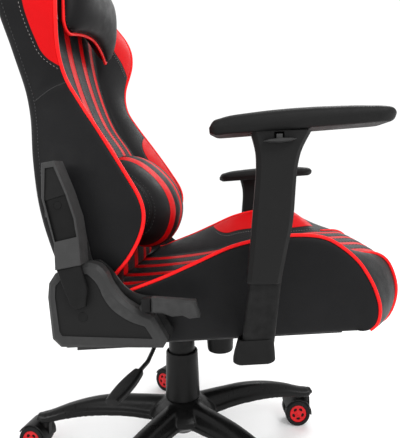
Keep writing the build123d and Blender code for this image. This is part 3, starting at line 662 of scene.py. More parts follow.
def stitches(name, lines, tree, material, body):
    """Rows of sewn stitches lying on a surface, along lines of points near it."""
    vertices, faces = [], []
    for line in lines:
        count = max(2, int(sum((Vector(a) - Vector(b)).length for a, b in zip(line, line[1:]))
                           / STITCH_PITCH))
        spots = sample([tuple(p) for p in line], count + 1)
        for here, ahead in zip(spots, spots[1:]):
            middle = (Vector(here) + Vector(ahead)) / 2
            spot, up, _, _ = tree.find_nearest(middle)
            along = Vector(ahead) - Vector(here)
            along = (along - up * along.dot(up)).normalized() * STITCH_LENGTH / 2
            side = along.cross(up).normalized() * STITCH_WIDTH / 2
            top = spot + up * STITCH_RISE
            low = spot - up * STITCH_RISE
            base = len(vertices)
            vertices += [low - along - side, low - along + side, low + along + side, low + along - side,
                         top - along * 0.7 - side * 0.7, top - along * 0.7 + side * 0.7,
                         top + along * 0.7 + side * 0.7, top + along * 0.7 - side * 0.7]
            faces += [tuple(base + k for k in face) for face in
                      ((3, 2, 1, 0), (4, 5, 6, 7), (0, 1, 5, 4), (1, 2, 6, 5), (2, 3, 7, 6), (3, 0, 4, 7))]
    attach(paint(new_object(name, vertices, faces), material), body)


def cord_on(name, points, radius, material, body, ring=False):
    """Welt or piping along points."""
    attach(paint(tube(name, points, radius, ring=ring), material), body)


def settled(points, tree, reach=0.0012):
    """The points, brought to within reach of a surface."""
    result = []
    for point in points:
        spot = tree.find_nearest(Vector(point))[0]
        gap = Vector(point) - spot
        result.append(spot + gap * min(1.0, reach / max(gap.length, 1e-9)))
    return result


# --- backrest -------------------------------------------------------------------------------
# side views of the rear face, the middle of the front, and the piping along each side
BACK_REAR = by_height(mm((-160, 430), (-197, 562), (-211, 637), (-223, 712), (-247, 805), (-262, 900),
                         (-274, 1000), (-287, 1100), (-300, 1200), (-304, 1256)))
BACK_CENTRE = by_height(mm((-246, 1256), (-242, 1190), (-232, 1080), (-226, 980), (-219, 895),
                           (-203, 815), (-168, 720), (-124, 650), (-100, 560), (-88, 500), (-84, 436)))
BACK_PIPING = by_height(mm((-252, 1256), (-250, 1190), (-244, 1110), (-236, 1080), (-215, 1035),
                           (-195, 1006), (-169, 973), (-156, 943), (-154, 905), (-160, 869), (-166, 835),
                           (-165, 800), (-156, 768), (-136, 735), (-95, 676), (-50, 609), (-26, 568),
                           (-21, 544), (-27, 515), (-51, 474), (-76, 446), (-82, 436)))
# half width and height of the front view, from the bottom up
BACK_OUTLINE = mm((224, 419), (230, 430), (246, 456), (254, 505), (254, 560), (243, 635), (223, 712),
                  (214, 768), (228, 828), (258, 893), (262, 945), (250, 993), (216, 1045), (172, 1085),
                  (158, 1115), (164, 1150), (167, 1185), (158, 1219), (134, 1241), (92, 1252), (34, 1256))
BACK_ROWS = 114
# sewn edges of the middle panels, outwards from the middle; the panels are black and red in turn
STRIPE_EDGES = (0.0, 0.0275, 0.0575, 0.1050, 0.1350, 0.150)
STRIPE_SEGMENTS = (3, 4, 5, 4, 2)
GROOVE = 0.150
BLACK_SIDE = (-0.0032, 0.0032, -0.0032, 0.0032)      # from each stripe border to its stitches
# red insets: height, and how far the inset reaches in from the piping
SHOULDER_OUTER = mm((790, 0), (796, 8), (804, 18), (818, 28), (835, 34), (860, 44), (885, 52), (940, 60),
                    (985, 52), (1015, 34), (1035, 12), (1042, 0))
SHOULDER_INNER = mm((858, 0), (874, 10), (905, 27), (932, 41), (962, 42), (990, 24), (1006, 0))
HIP_INNER = mm((500, 0), (530, 18), (565, 32), (610, 37), (647, 34), (668, 30), (686, 22), (704, 6), (709, 0))
WING_SEGMENTS, SIDE_SEGMENTS, REAR_SEGMENTS = 10, 12, 10
PIPING_KNOT = sum(STRIPE_SEGMENTS) + WING_SEGMENTS       # place of the piping in a half section
CROSS_SEAM = mm((-158, 766), (-183, 756), (-212, 736))   # side view of the seam across the side panel
# radii of the cords
BACK_CORD, SEAT_CORD, NOSE_CORD, HEAD_CORD, SEAM_CORD = 0.0031, 0.0028, 0.0032, 0.0032, 0.0008
SLOT_X, SLOT_HEIGHT, SLOT_HALF, SLOT_RADIUS = 0.088, 1.104, 0.022, 0.0155      # belt slots
BACK_TOP_ROUND, WING_END = 1.228, 1.085     # heights where the top rounds off and the wings end


def slope_at(table, key, step):
    """Slope of a table's curve, measured over a step to each side."""
    return (value(table, key + step) - value(table, key - step)) / (2 * step)


def inset_distance(table, height, reach):
    """Distance inside a coloured inset whose width from the piping is in the table."""
    low, high = table[0][0], table[-1][0]
    width = value(table, height)
    slope = slope_at(table, height, 0.002)
    if height < low or height > high:
        return -max(low - height, height - high, 0.0) - reach
    return (width - reach) / math.sqrt(1 + slope * slope)


def back_section(width, height):
    """Half section of the backrest where its half width is width."""
    rear, centre, edge = (value(table, height) for table in (BACK_REAR, BACK_CENTRE, BACK_PIPING))
    top = smooth((height - BACK_TOP_ROUND) / 0.028)
    rear, centre = rear + 0.016 * top, centre - 0.012 * top
    groove = min(GROOVE, 0.88 * width)
    winged = smooth((WING_END - height) / 0.06)
    sink = 0.002 + 0.003 * winged
    valley = centre - sink

    def front(x):
        return (x * groove / GROOVE, centre - sink * (x / GROOVE) ** 2, height)

    knots = stripe_knots(front, STRIPE_EDGES, STRIPE_SEGMENTS, STRIPE_GIVE * (1 - top))
    reach = max(edge - valley, 0.001)

    def inner_red(t):
        away = reach * (1 - t)
        return max(inset_distance(SHOULDER_INNER, height, away), inset_distance(HIP_INNER, height, away))

    knots += panel((groove, valley, height), (width, edge, height), WING_SEGMENTS,
                   (0.003 + 0.013 * winged) * (1 - top), inner_red)
    seam = rear + 0.013
    depth = edge - seam

    def outer_red(t):
        return inset_distance(SHOULDER_OUTER, height, depth * t)

    swell = mix(0.009, 0.0045, smooth((0.66 - height) / 0.06)) * (1 - top)
    side = panel((width, edge, height), (width - 0.002, seam, height), SIDE_SEGMENTS, swell, outer_red)
    for k, knot in enumerate(side):
        crease = min(math.dist(knot[1:3], point) for point in sample(CROSS_SEAM, 12))
        side[k] = knot[:3] + (knot[3] * mix(0.25, 1.0, smooth(crease / 0.022)),) + knot[4:]
    knots += side
    knots += [(width - 0.0035, rear + 0.008, height, 0.0, OFF, OFF, width),
              (width - 0.009, rear + 0.0025, height, 0.001, OFF, OFF, width),
              (width - 0.018, rear, height, 0.0015, OFF, OFF, width)]
    knots += panel((width - 0.026, rear - 0.0005, height), (0.0, rear - 0.002, height), REAR_SEGMENTS, 0.003,
                   last=True)
    return knots


def belt_slot(sign):
    """Cutter for a belt slot, as wide as the bezel's tube."""
    rows = []
    for forward in (-0.40, -0.10):
        rows.append([at(sign * SLOT_X + math.copysign(SLOT_HALF, cos) + SLOT_RADIUS * cos, forward,
                        SLOT_HEIGHT + SLOT_RADIUS * sin) for cos, sin in circle(40)])
    return paint(loft("slot_cutter", rows, caps="flat"), MATERIAL["upholstery"])


def build_back():
    outline = sample(BACK_OUTLINE, BACK_ROWS)
    halves = [back_section(*point) for point in outline]
    along = [0.0]
    for a, b in zip(outline, outline[1:]):
        along.append(along[-1] + abs(b[1] - a[1]))
    back = shell("backrest", [full_loop(half) for half in halves], MATERIAL["upholstery"], along)
    for _, sign in SIDES:
        cut(back, belt_slot(sign))
    place_piece(back, "back", "black_leather", "back_cushion", "back_bolster_right", "back_bolster_left")
    tree = surface_of(back)

    edge = [(half[PIPING_KNOT][0] + 0.001, half[PIPING_KNOT][1] + 0.001, half[PIPING_KNOT][2])
            for half in halves]
    loop = [at(*p) for p in edge] + [at(-p[0], p[1], p[2]) for p in reversed(edge)]
    cord_on("backrest_piping", settled(loop, tree), BACK_CORD, MATERIAL["piping"], "back")

    lines = []
    for sign in (-1, 1):
        for edge_x, offset in zip(STRIPE_EDGES[1:-1], BLACK_SIDE):
            lines.append([at(sign * (edge_x + offset), value(BACK_CENTRE, h) - 0.01, h)
                          for h in (0.45 + 0.02 * k for k in range(37))])
    stitches("backrest_stripe_stitches", lines, tree, MATERIAL["dark_thread"], "back")

    lines, seams = [], []
    widths = sorted((h, w) for w, h in BACK_OUTLINE)
    for side, sign in SIDES:
        outer = []
        for k in range(30):
            height = mix(SHOULDER_OUTER[0][0], 1.035, k / 29)
            away = value(SHOULDER_OUTER, height)
            slope = slope_at(SHOULDER_OUTER, height, 0.003)
            length = math.sqrt(1 + slope * slope)
            outer.append((away + 0.0055 / length, height - 0.0055 * slope / length))
        lines.append([at(sign * (value(widths, h) + 0.006),
                         value(BACK_PIPING, h) - d, h) for d, h in outer if d > 0])
        inner = []
        for k in range(16):
            height = mix(0.868, 0.998, k / 15)
            away = value(SHOULDER_INNER, height) + 0.006
            part = away / (value(BACK_PIPING, height) - value(BACK_CENTRE, height))
            inner.append(at(sign * mix(value(widths, height), GROOVE, part),
                            value(BACK_PIPING, height) - away + 0.008, height))
        lines.append(inner)
        seams.append([at(sign * width, value(BACK_REAR, height) + 0.0165, height)
                      for width, height in outline if 0.46 < height < 1.2])
        crease = [tree.find_nearest(at(sign * (value(widths, h) + 0.004), f, h))[0]
                  for f, h in sample(CROSS_SEAM, 16)]
        cord_on(f"backrest_cross_seam_{side}", crease, SEAM_CORD, MATERIAL["seam"], "back")
    stitches("backrest_inset_stitches", lines, tree, MATERIAL["pale_thread"], "back")
    stitches("backrest_rear_stitches", seams, tree, MATERIAL["dark_thread"], "back")


build_back()


# --- seat -----------------------------------------------------------------------------------
SEAT_SLOPE = 0.0498
SEAT_UNDER = 0.3368


def underside(forward):
    """Height of the seat's sloping underside."""
    return SEAT_UNDER + SEAT_SLOPE * forward


# centre (forward, height), piping (forward, height), lower edge (forward), from rear to nose
SEAT_LINES = mm((-126, 404, -96, 412, -116), (-100, 403, -72, 415, -94), (-60, 404, -44, 427, -62),
                (0, 409, 8, 447, 0), (60, 417, 60, 470, 55), (120, 428, 118, 495, 108),
                (190, 442, 180, 508, 165), (250, 453, 228, 510, 208), (300, 459, 262, 504, 240),
                (340, 461, 290, 486, 266), (368, 460, 310, 466, 284), (387, 448, 324, 444, 295),
                (398, 424, 334, 422, 301), (402, 398, 340, 398, 304), (397, 372, 339, 380, 305),
                (385, 350, 334, 368, 305), (366, 336, 324, 360, 303))
SEAT_ROWS = 92
NOSE_START = 0.322
BOLSTER_X = 0.2515
# forward, and how far the red inset reaches down from the piping
BOLSTER_INSET = mm((56, 0), (64, 12), (78, 27), (98, 39), (125, 42), (165, 45), (205, 48), (240, 46),
                   (270, 34), (295, 14), (306, 0))


def seat_section(centre_f, centre_h, piping_f, piping_h, lower_f):
    """Half section of the seat cover, leaning with the lines it is drawn between."""
    below_nose = centre_h < 0.44 and centre_f > 0.3
    nose = 1.0 if below_nose else smooth((centre_f - NOSE_START + 0.02) / 0.03)
    dip = -0.0025 * (1 - nose)

    def top(x):
        return (x, centre_f - 0.004 * nose * (x / GROOVE) ** 2, centre_h - dip * (x / GROOVE) ** 2)

    knots = stripe_knots(top, STRIPE_EDGES, STRIPE_SEGMENTS, STRIPE_GIVE)
    start = (GROOVE + 0.004 * nose, centre_f - 0.004 * nose, centre_h - dip)
    drop = max(piping_h - centre_h, 0.0)

    def bolster_red(t):
        if nose > 0.9:
            return OFF
        return inset_distance(BOLSTER_INSET, piping_f, drop * (1 - t))

    knots += panel(start, (BOLSTER_X, piping_f, piping_h), WING_SEGMENTS, 0.011 * (1 - 0.55 * nose),
                   bolster_red, perforated=nose < 0.5)
    swell = 0.002 + 0.008 * smooth((piping_f - 0.03) / 0.08)
    hem = (0.2485, lower_f, underside(lower_f) + 0.007)
    knots += panel((BOLSTER_X, piping_f, piping_h), hem, SIDE_SEGMENTS, swell)
    knots += [hem + (0.0, OFF, OFF, 0.25),
              (0.2435, lower_f, underside(lower_f) + 0.005, 0.0, OFF, OFF, 0.24),
              (0.2395, lower_f - 0.003, underside(lower_f) + 0.010, 0.0, OFF, OFF, 0.24)]
    belly_f = min(mix(lower_f, centre_f - 0.008, smooth((lower_f - 0.16) / 0.13)), 0.358)
    belly_h = mix(underside(belly_f) + 0.0215, 0.3405, smooth((belly_f - 0.285) / 0.05))
    edge_h = mix(underside(lower_f) + 0.0215, underside(lower_f) + 0.004, smooth((lower_f - 0.27) / 0.03))
    knots += panel((0.238, lower_f - 0.004, edge_h), (0.0, belly_f, belly_h), REAR_SEGMENTS, 0.0, last=True)
    return knots


def build_seat():
    lines = sample(SEAT_LINES, SEAT_ROWS)
    halves = [seat_section(*line) for line in lines]
    along = [0.0]
    for a, b in zip(lines, lines[1:]):
        along.append(along[-1] + math.dist(a[:2], b[:2]))
    seat = shell("seat_cover", [full_loop(half) for half in halves], MATERIAL["upholstery"], along)
    place_piece(seat, "seat", "black_leather", "seat_cushion", "seat_bolster_right", "seat_bolster_left")
    tree = surface_of(seat)
    nose = [(f, h) for f, h, *_ in lines if f > NOSE_START or h < 0.40 and f > 0.2]
    for side, sign in SIDES:
        edge = [at(sign * (BOLSTER_X + 0.001), line[2] + 0.0005, line[3] + 0.0015) for line in lines]
        cord_on(f"seat_piping_{side}", settled(edge, tree, 0.0016), SEAT_CORD, MATERIAL["piping"], "seat")
        rise = [at(sign * 0.1545, f - 0.003, h + 0.001) for f, h in nose]
        cord_on(f"nose_piping_{side}", settled(rise, tree, 0.0024), NOSE_CORD, MATERIAL["piping"], "seat")
    across = []
    for sign in (-1, 1):
        for edge_x, offset in zip(STRIPE_EDGES[1:-1], BLACK_SIDE):
            across.append([at(sign * (edge_x + offset), line[0], line[1]) for line in lines[4:-2:3]])
    stitches("seat_stripe_stitches", across, tree, MATERIAL["dark_thread"], "seat")
    inset_lines = []
    for sign in (-1, 1):
        row = []
        for centre_f, centre_h, piping_f, piping_h, _ in lines:
            drop, width = piping_h - centre_h, value(BOLSTER_INSET, piping_f) + 0.0045
            if BOLSTER_INSET[1][0] < piping_f < BOLSTER_INSET[-2][0] and drop > width:
                part = width / drop
                row.append(at(sign * mix(BOLSTER_X, GROOVE, part), mix(piping_f, centre_f, part),
                              mix(piping_h, centre_h, part)))
        inset_lines.append(row)
    stitches("bolster_inset_stitches", inset_lines, tree, MATERIAL["pale_thread"], "seat")


build_seat()


# --- pillows --------------------------------------------------------------------------------
def end_rounding(reach, start):
    """0 until start, then rising to 1 at reach 1 as a quarter circle."""
    t = max(abs(reach) - start, 0.0) / (1 - start)
    return 1 - math.sqrt(max(1 - t * t, 0.0))


HEAD_HALF = 0.137
HEAD_COLUMNS = 46
HEAD_FACES = ((20, 0.034, 0.42, 1), (14, -0.036, 0.5, -1))      # knots, depth, end power, way round


def head_seam(s):
    """Lower and upper seam height and seam forward at s, from -1 to 1 across the pillow."""
    corner = 0.034 * end_rounding(s, 0.80)
    return (0.901 - 0.029 * abs(s) ** 1.7 + corner, 1.022 + 0.020 * abs(s) ** 1.7 - corner,
            -0.178 - 0.012 * s * s)


def build_head_pillow():
    loops, low_seam, high_seam = [], [], []
    for k in range(HEAD_COLUMNS + 1):
        s = -math.cos(math.pi * k / HEAD_COLUMNS)
        s = 0.996 * (0.35 * s + 0.65 * (2 * k / HEAD_COLUMNS - 1))
        low, high, seam = head_seam(s)
        side = max(1 - abs(s) ** 3.2, 0.0)
        loop = []
        for count, depth, power, flip in HEAD_FACES:
            for i in range(count):
                t = flip * (2 * i / count - 1)
                crown = max(1 - abs(t) ** 2.6, 0.0) ** 0.52 * side ** power
                give = 0.0075 * crown if flip > 0 else 0.002 * crown
                loop.append((s * HEAD_HALF, seam + depth * crown, mix(low, high, (t + 1) / 2), give,
                             OFF, OFF, s * HEAD_HALF))
        loops.append(loop)
        low_seam.append(at(s * HEAD_HALF, seam, low - 0.001))
        high_seam.append(at(s * HEAD_HALF, seam, high + 0.001))
    pillow = shell("head_rest_pillow", loops, MATERIAL["upholstery"], [0.0] * len(loops))
    place_piece(pillow, "back", "black_leather", "head_pillow")
    cord_on("head_pillow_piping", low_seam + list(reversed(high_seam)), HEAD_CORD, MATERIAL["piping"],
            "back", ring=True)
    tree = surface_of(pillow)
    rows = [[point + Vector((0, -0.004, inner)) for point in seam]
            for seam, inner in ((low_seam, 0.009), (high_seam, -0.009))]
    stitches("head_pillow_stitches", rows, tree, MATERIAL["dark_thread"], "back")


# side view of the lumbar pillow, and the point that it draws in to at both ends
LUMBAR_PROFILE = mm((-78, 464), (-50, 460), (-18, 474), (0, 506), (4, 543), (-9, 580), (-33, 611), (-62, 635),
                    (-90, 648), (-114, 648), (-114, 625), (-98, 560), (-84, 500), (-78, 464))
LUMBAR_HEART = (-0.088, 0.554)
LUMBAR_HALF = 0.146
LUMBAR_EDGES = (0.0, 0.0145, 0.0560, 0.0850, 0.128, 0.1455)
LUMBAR_SEGMENTS = (2, 5, 3, 5, 5)
LUMBAR_KNOTS = 56


def build_lumbar_pillow():
    profile = sample(LUMBAR_PROFILE, LUMBAR_KNOTS + 1)[:-1]

    def size(x):
        """Share of the full profile that is left at x."""
        return max(1 - (x / LUMBAR_HALF) ** 2.4, 0.0) ** 0.40

    half = []
    for k in range(len(LUMBAR_EDGES) - 1):
        for i in range(LUMBAR_SEGMENTS[k]):
            t = i / LUMBAR_SEGMENTS[k]
            x = mix(LUMBAR_EDGES[k], LUMBAR_EDGES[k + 1], t)
            edge = LUMBAR_EDGES[k + 1] - x
            if k:
                edge = min(edge, x - LUMBAR_EDGES[k])
            crown = puff(0.5 + 0.5 * t) if k == 0 else puff(t)
            half.append((x, edge if k % 2 == 0 and k < 4 else -edge, crown))
    half.append((LUMBAR_EDGES[-1], OFF, 0.0))
    columns = [(-x, r, c) for x, r, c in reversed(half[1:])] + half
    loops = []
    for x, red, crown in columns:
        scale = size(abs(x))
        loop = []
        for forward, height in profile:
            away = (forward - LUMBAR_HEART[0], height - LUMBAR_HEART[1])
            front = smooth((away[0] + 0.006) / 0.03)
            loop.append((x, LUMBAR_HEART[0] + away[0] * scale, LUMBAR_HEART[1] + away[1] * scale,
                         STRIPE_GIVE * crown * front, red, OFF, x))
        loops.append(loop)
    pillow = shell("lumbar_support_pillow", loops, MATERIAL["upholstery"], [0.0] * len(loops))
    place_piece(pillow, "back", "black_leather", "lumbar_pillow")
    tree = surface_of(pillow)
    rows = []
    for sign in (-1, 1):
        for x in (LUMBAR_EDGES[-2] - 0.004, LUMBAR_EDGES[-2] + 0.004):
            scale = size(x)
            rows.append([at(sign * x, LUMBAR_HEART[0] + (f - LUMBAR_HEART[0]) * scale,
                            LUMBAR_HEART[1] + (h - LUMBAR_HEART[1]) * scale)
                         for f, h in profile if f > -0.085])
    stitches("lumbar_pillow_stitches", rows, tree, MATERIAL["dark_thread"], "back")


build_head_pillow()
build_lumbar_pillow()


# --- straps ---------------------------------------------------------------------------------
STRAP_HALF = 0.014
STRAP_THICK = 0.0018


def strap(name, path, span="x"):
    """Flat webbing along a path of points; its width lies along x, or upright for span z."""
    wide = Vector((1, 0, 0)) if span == "x" else Vector((0, 0, 1))
    points = [Vector(p) for p in sample([tuple(p) for p in path], 8 * len(path))]
    rows = []
    for i, p in enumerate(points):
        run = (points[min(i + 1, len(points) - 1)] - points[max(i - 1, 0)]).normalized()
        up = run.cross(wide).normalized()
        rows.append([p + wide * STRAP_HALF * sx + up * STRAP_THICK / 2 * sy
                     for sx, sy in ((-1, -1), (-0.5, -1.15), (0.5, -1.15), (1, -1), (1, 1), (0.5, 1.15),
                                    (-0.5, 1.15), (-1, 1))])
    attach(paint(loft(name, rows), MATERIAL["webbing"]), "back")


def build_straps():
    for side, sign in SIDES:
        x = sign * SLOT_X
        strap(f"head_strap_{side}", [at(x, -0.196, 1.018), at(x, -0.212, 1.040), at(x, -0.222, 1.065),
                                     at(x, -0.2265, 1.088), at(x, -0.236, 1.1010), at(x, -0.262, 1.1035),
                                     at(x, -0.284, 1.1010), at(x, -0.2965, 1.0900), at(x, -0.2925, 1.0720)])
    strap("head_strap_rear", [at(-0.100, -0.2915, 1.066), at(-0.05, -0.2905, 1.062), at(0.0, -0.2895, 1.061),
                              at(0.05, -0.2905, 1.062), at(0.100, -0.2915, 1.066)], span="z")
    rows = [[at(x, -0.2925 + d * 0.002, 1.064 + h * 0.018) for x, h in
             ((-0.022, -1), (0.022, -1), (0.026, -0.6), (0.026, 0.6), (0.022, 1), (-0.022, 1),
              (-0.026, 0.6), (-0.026, -0.6))] for d in (1, -1.6)]
    buckle = loft("head_strap_buckle", rows, caps="flat")
    paint(buckle, MATERIAL["black_plastic"])
    soften_edges(buckle, 0.0012)
    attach(buckle, "back")


build_straps()


# --- arms -----------------------------------------------------------------------------------
ARM_DROP = {"right": 0.0, "left": 0.076}       # how far each arm stands below its highest stop
POST_LEAN = math.radians(8)
PAD_TOP = mm((88, 667), (91, 676), (104, 683), (150, 690), (200, 694), (252, 695.5), (300, 695), (326, 693.5),
             (337, 691), (342.5, 684))
PAD_REAR, PAD_FRONT = 0.0875, 0.3425
PAD_ROWS = 44
# height, rear, front and half width of the sleeve, from its open end up
SLEEVE_EDGES = mm((457.4, 133.6, 182, 14.6), (500, 138.5, 191, 14.8), (540, 143, 200, 15.0),
                  (590, 148, 205, 15.3), (612, 150, 207.5, 15.6), (632, 150, 212, 16.4),
                  (645, 148, 217.5, 17.4), (655, 145.5, 223, 18.6), (664, 143.5, 228, 20.0))
POST_X = 0.330
PAD_X, PAD_HALF = 0.315, 0.0473
PADDLE_AT = (0.183, 0.6505)         # the outlines below are about this point
PADDLE_BLADE = mm((-22, -1.2), (-14, -2.6), (0, -3.4), (14, -2.0), (22, 1.0), (14, 2.6), (0, 3.0), (-14, 1.4))
PADDLE_NECK = mm((-4, 2.4), (4, 2.4), (4, 8.5), (-4, 8.5))
PADDLE_POCKET = mm((-6.5, 3), (6.5, 3.5), (6.5, 11.5), (-6.5, 11))
POST_FOOT = (0.149, 0.373)          # forward and height where the post leaves its foot


def lowered(obj, side):
    """Slide an arm part down its leaning post to where that side's arm stands."""
    drop = ARM_DROP[side]
    obj.data.transform(Matrix.Translation((0, drop * math.sin(POST_LEAN), -drop * math.cos(POST_LEAN))))


def build_pad(side, sign):
    """Foam pad with a rounded top over a crease and a flat underside."""
    loops, along = [], []
    for k in range(PAD_ROWS + 1):
        s = -math.cos(math.pi * k / PAD_ROWS) * 0.998
        forward = mix(PAD_REAR, PAD_FRONT, (s + 1) / 2)
        from_end = min(forward - PAD_REAR, PAD_FRONT - forward)
        reach = min(1.0, from_end / 0.026)
        half = PAD_HALF * (0.40 + 0.60 * math.sqrt(max(1 - (1 - reach) ** 2, 0.0)))
        under = 0.6595 + (forward - 0.097) * 0.053
        rise = 0.0045 * (1 - smooth(from_end / 0.011))
        crease, bottom = under + 0.0110, under + rise
        top = max(value(PAD_TOP, forward), crease + 0.0012)
        arc = []
        for i in range(9):
            angle = math.pi / 2 * i / 8
            arc.append((half * math.sin(angle) ** 0.62, crease + (top - crease) * math.cos(angle) ** 0.50,
                        0.0012 * math.cos(angle)))
        arc += [(half - 0.0008, crease - 0.0010, 0.0), (half - 0.0048, mix(crease, bottom, 0.62), 0.0),
                (half - 0.0080, bottom + 0.0006, 0.0), (half - 0.0110, bottom, 0.0),
                (half * 0.5, bottom, 0.0), (0.0, bottom, 0.0)]
        whole = arc + [(-x, h, g) for x, h, g in reversed(arc[1:-1])]
        loops.append([(sign * PAD_X + x, forward, h, g, OFF, OFF, x) for x, h, g in whole])
        along.append(forward)
    pad = shell(f"armrest_{side}", loops, MATERIAL["pad"], along)
    lowered(pad, side)
    place_piece(pad, f"arm_{side}", "arm_pad", f"arm_pad_{side}")


def sleeve_ring(sign, rear, front, height, half, grow=0.0):
    """Section of the sleeve: flat sides with chamfered corners, the rear ones wider."""
    rear, front, half = rear - grow, front + grow, half + grow
    long_cut, short_cut = 0.0085, 0.006
    corners = [(-1, rear + long_cut), (-0.55, rear + 0.0015), (0.55, rear + 0.0015), (1, rear + long_cut),
               (1, front - short_cut), (0.6, front), (-0.6, front), (-1, front - short_cut)]
    return [at(sign * POST_X + sign * half * x, f, height) for x, f in corners]


def at_paddle(outline):
    return [(PADDLE_AT[0] + forward, PADDLE_AT[1] + height) for forward, height in outline]


def build_sleeve(side, sign):
    stations = [tuple(p) for p in sample(SLEEVE_EDGES, 26)]
    outer = [sleeve_ring(sign, rear, front, height, half) for height, rear, front, half in stations]
    low = stations[0]
    lip = sleeve_ring(sign, low[1], low[2], low[0] - 0.002, low[3], -0.0012)
    throat = sleeve_ring(sign, low[1], low[2], low[0] - 0.002, low[3], -0.0028)
    inside = sleeve_ring(sign, low[1] + 0.004, low[2] + 0.004, low[0] + 0.03, low[3], -0.0028)
    sleeve = loft(f"armrest_sleeve_{side}", [inside, throat, lip] + outer, caps="flat")
    paint(sleeve, MATERIAL["arm"])
    pocket = prism("pocket", at_paddle(PADDLE_POCKET), sign, POST_X + 0.009, POST_X + 0.04)
    cut(sleeve, paint(pocket, MATERIAL["deep_trim"]))
    lowered(sleeve, side)
    soften_edges(sleeve, 0.0016, 3, 22)
    place_piece(sleeve, f"arm_{side}", "arm_plastic", f"arm_sleeve_{side}")


def build_paddle(side, sign):
    """Blade that lets the arm slide, on a short neck that passes into the sleeve."""
    blade = prism("blade", at_paddle(PADDLE_BLADE), sign, POST_X + 0.0187, POST_X + 0.031,
                  border=0.0012, bevel=0.003)
    neck = prism("neck", at_paddle(PADDLE_NECK), sign, POST_X + 0.0115, POST_X + 0.0235)
    paddle = join(f"armrest_paddle_{side}", [blade, neck])
    paint(paddle, MATERIAL["pale_trim"])
    lowered(paddle, side)
    soften_edges(paddle, 0.0005)
    place_piece(paddle, f"arm_paddle_{side}", "arm_plastic", f"arm_paddle_{side}")


def under_seat(*pairs):
    """Outline from forward and height above the seat's underside, in millimetres."""
    return [(forward, underside(forward) + height) for forward, height in mm(*pairs)]


def build_post(side, sign):
    """Leaning post in a flared boot, on a flat bracket under the seat."""
    def post_ring(height):
        forward = POST_FOOT[0] + (height - POST_FOOT[1]) * math.tan(POST_LEAN)
        return rounded_ring((sign * POST_X, forward), 0.011, 0.0222, 0.008, height)

    def sloped(middle, height, sag=0.0):
        def surface(forward):
            away = (forward - middle) / 0.029
            return height + SEAT_SLOPE * (forward - middle) - sag * max(1 - away * away, 0.0)
        return surface

    post = loft("post", [post_ring(0.352), post_ring(0.5450)], caps="flat")
    boot_rows = [(0.1428, 0.0155, 0.0272, 0.3492, 0.003), (0.1428, 0.0172, 0.0290, 0.3505, 0.003),
                 (0.1436, 0.0168, 0.0280, 0.3590, 0.001), (0.1458, 0.0150, 0.0246, 0.3782, 0.0),
                 (0.1460, 0.0143, 0.0238, 0.3797, 0.0), (0.1460, 0.0134, 0.0229, 0.3795, 0.0),
                 (0.1460, 0.0128, 0.0224, 0.3740, 0.0)]
    boot = loft("boot", [rounded_ring((sign * (POST_X - 0.001), middle), half_x, half_f, 0.0095,
                                      sloped(middle, height, sag))
                         for middle, half_x, half_f, height, sag in boot_rows], caps="flat")
    bracket = prism("bracket", under_seat((122, -5), (172, -5), (172, -0.3), (122, -0.3)), sign,
                    0.150, POST_X - 0.032)
    riser = prism("riser", under_seat((126, -0.3), (164, -0.3), (164, 14), (126, 14)), sign,
                  POST_X - 0.062, POST_X - 0.010)
    whole = join(f"armrest_post_{side}", [post, boot, bracket, riser])
    paint(whole, MATERIAL["deep_trim"])
    soften_edges(whole, 0.0009, 2, 30)
    place_piece(whole, "seat", "black_steel", f"arm_post_{side}")


for arm_side, arm_sign in SIDES:
    build_pad(arm_side, arm_sign)
    build_sleeve(arm_side, arm_sign)
    build_paddle(arm_side, arm_sign)
    build_post(arm_side, arm_sign)


# --- recliner covers and side bars ----------------------------------------------------------
# side views: straight corners, then the curved edge that closes each outline
COVER_CORNERS = mm((-102, 478), (-127, 473), (-153, 462), (-163, 447), (-165, 426), (-159, 363),
                   (-146, 350.5), (9, 348.5), (16, 360), (-4, 396))
COVER_CURVE = mm((-4, 396), (-28, 407), (-51, 423), (-67, 444), (-76, 463), (-87, 474), (-102, 478))
COVER_INNER, COVER_OUTER = 0.2685, 0.2915
FACE_CORNERS = mm((-103, 461), (-128, 459), (-143, 452), (-151, 444), (-152, 426), (-146, 375), (-142, 369),
                  (-6, 364), (-17, 382))
FACE_CURVE = mm((-17, 382), (-40, 390), (-64, 406), (-78, 424), (-84, 438), (-92, 451), (-103, 461))
BAR_CORNERS = mm((-146, 470), (-107.5, 477), (-110, 519), (-114, 546), (-126, 584), (-145, 632), (-164, 629),
                 (-164.5, 577), (-147, 510))
WINDOW_CORNERS = mm((-145, 512), (-112.5, 519), (-116.5, 546), (-128, 582), (-145, 623), (-158, 621),
                    (-160, 575))
LOWER_WINDOW = mm((-145, 512), (-112.5, 519), (-116.5, 546), (-128, 582), (-159.5, 573))
TONGUE_CORNERS = mm((-146, 470), (-110, 478), (-106, 462), (-100, 440), (-103, 414), (-116, 409), (-126, 417),
                    (-139, 450))
BAR_INNER, BAR_OUTER = 0.2685, 0.305
HANDLE_OUTLINE = mm((-4, 429), (61, 424), (67.5, 400), (52, 398), (41, 402.5), (27, 401), (12, 406),
                    (-4, 407))
BLOCK_OUTLINE = mm((-20, 427), (-4.5, 427.5), (-4.5, 407), (-18, 407))
FOOT_OUTLINE = mm((-24, 399), (5, 397), (24, 367), (15, 352), (-24, 351))
COVER_PLUG_AT, COVER_PLUG_RADIUS = (-0.111, 0.396), 0.0078
BAR_PLUG_AT, BAR_PLUG_RADIUS = (-0.1415, 0.5655), 0.0062
FACE_DEPTH, LOWER_FACE_DEPTH = 0.0022, 0.0040


def build_plug(name, body, centre, radius, sign, inner, outer):
    """Round cap let into a trim piece."""
    ring = [(centre[0] + radius * cos, centre[1] + radius * sin) for cos, sin in circle(28)]
    plug = prism(name, ring, sign, inner, outer, border=0.0008, bevel=0.0008)
    soften_edges(paint(plug, MATERIAL["deep_trim"]), 0.0004)
    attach(plug, body)


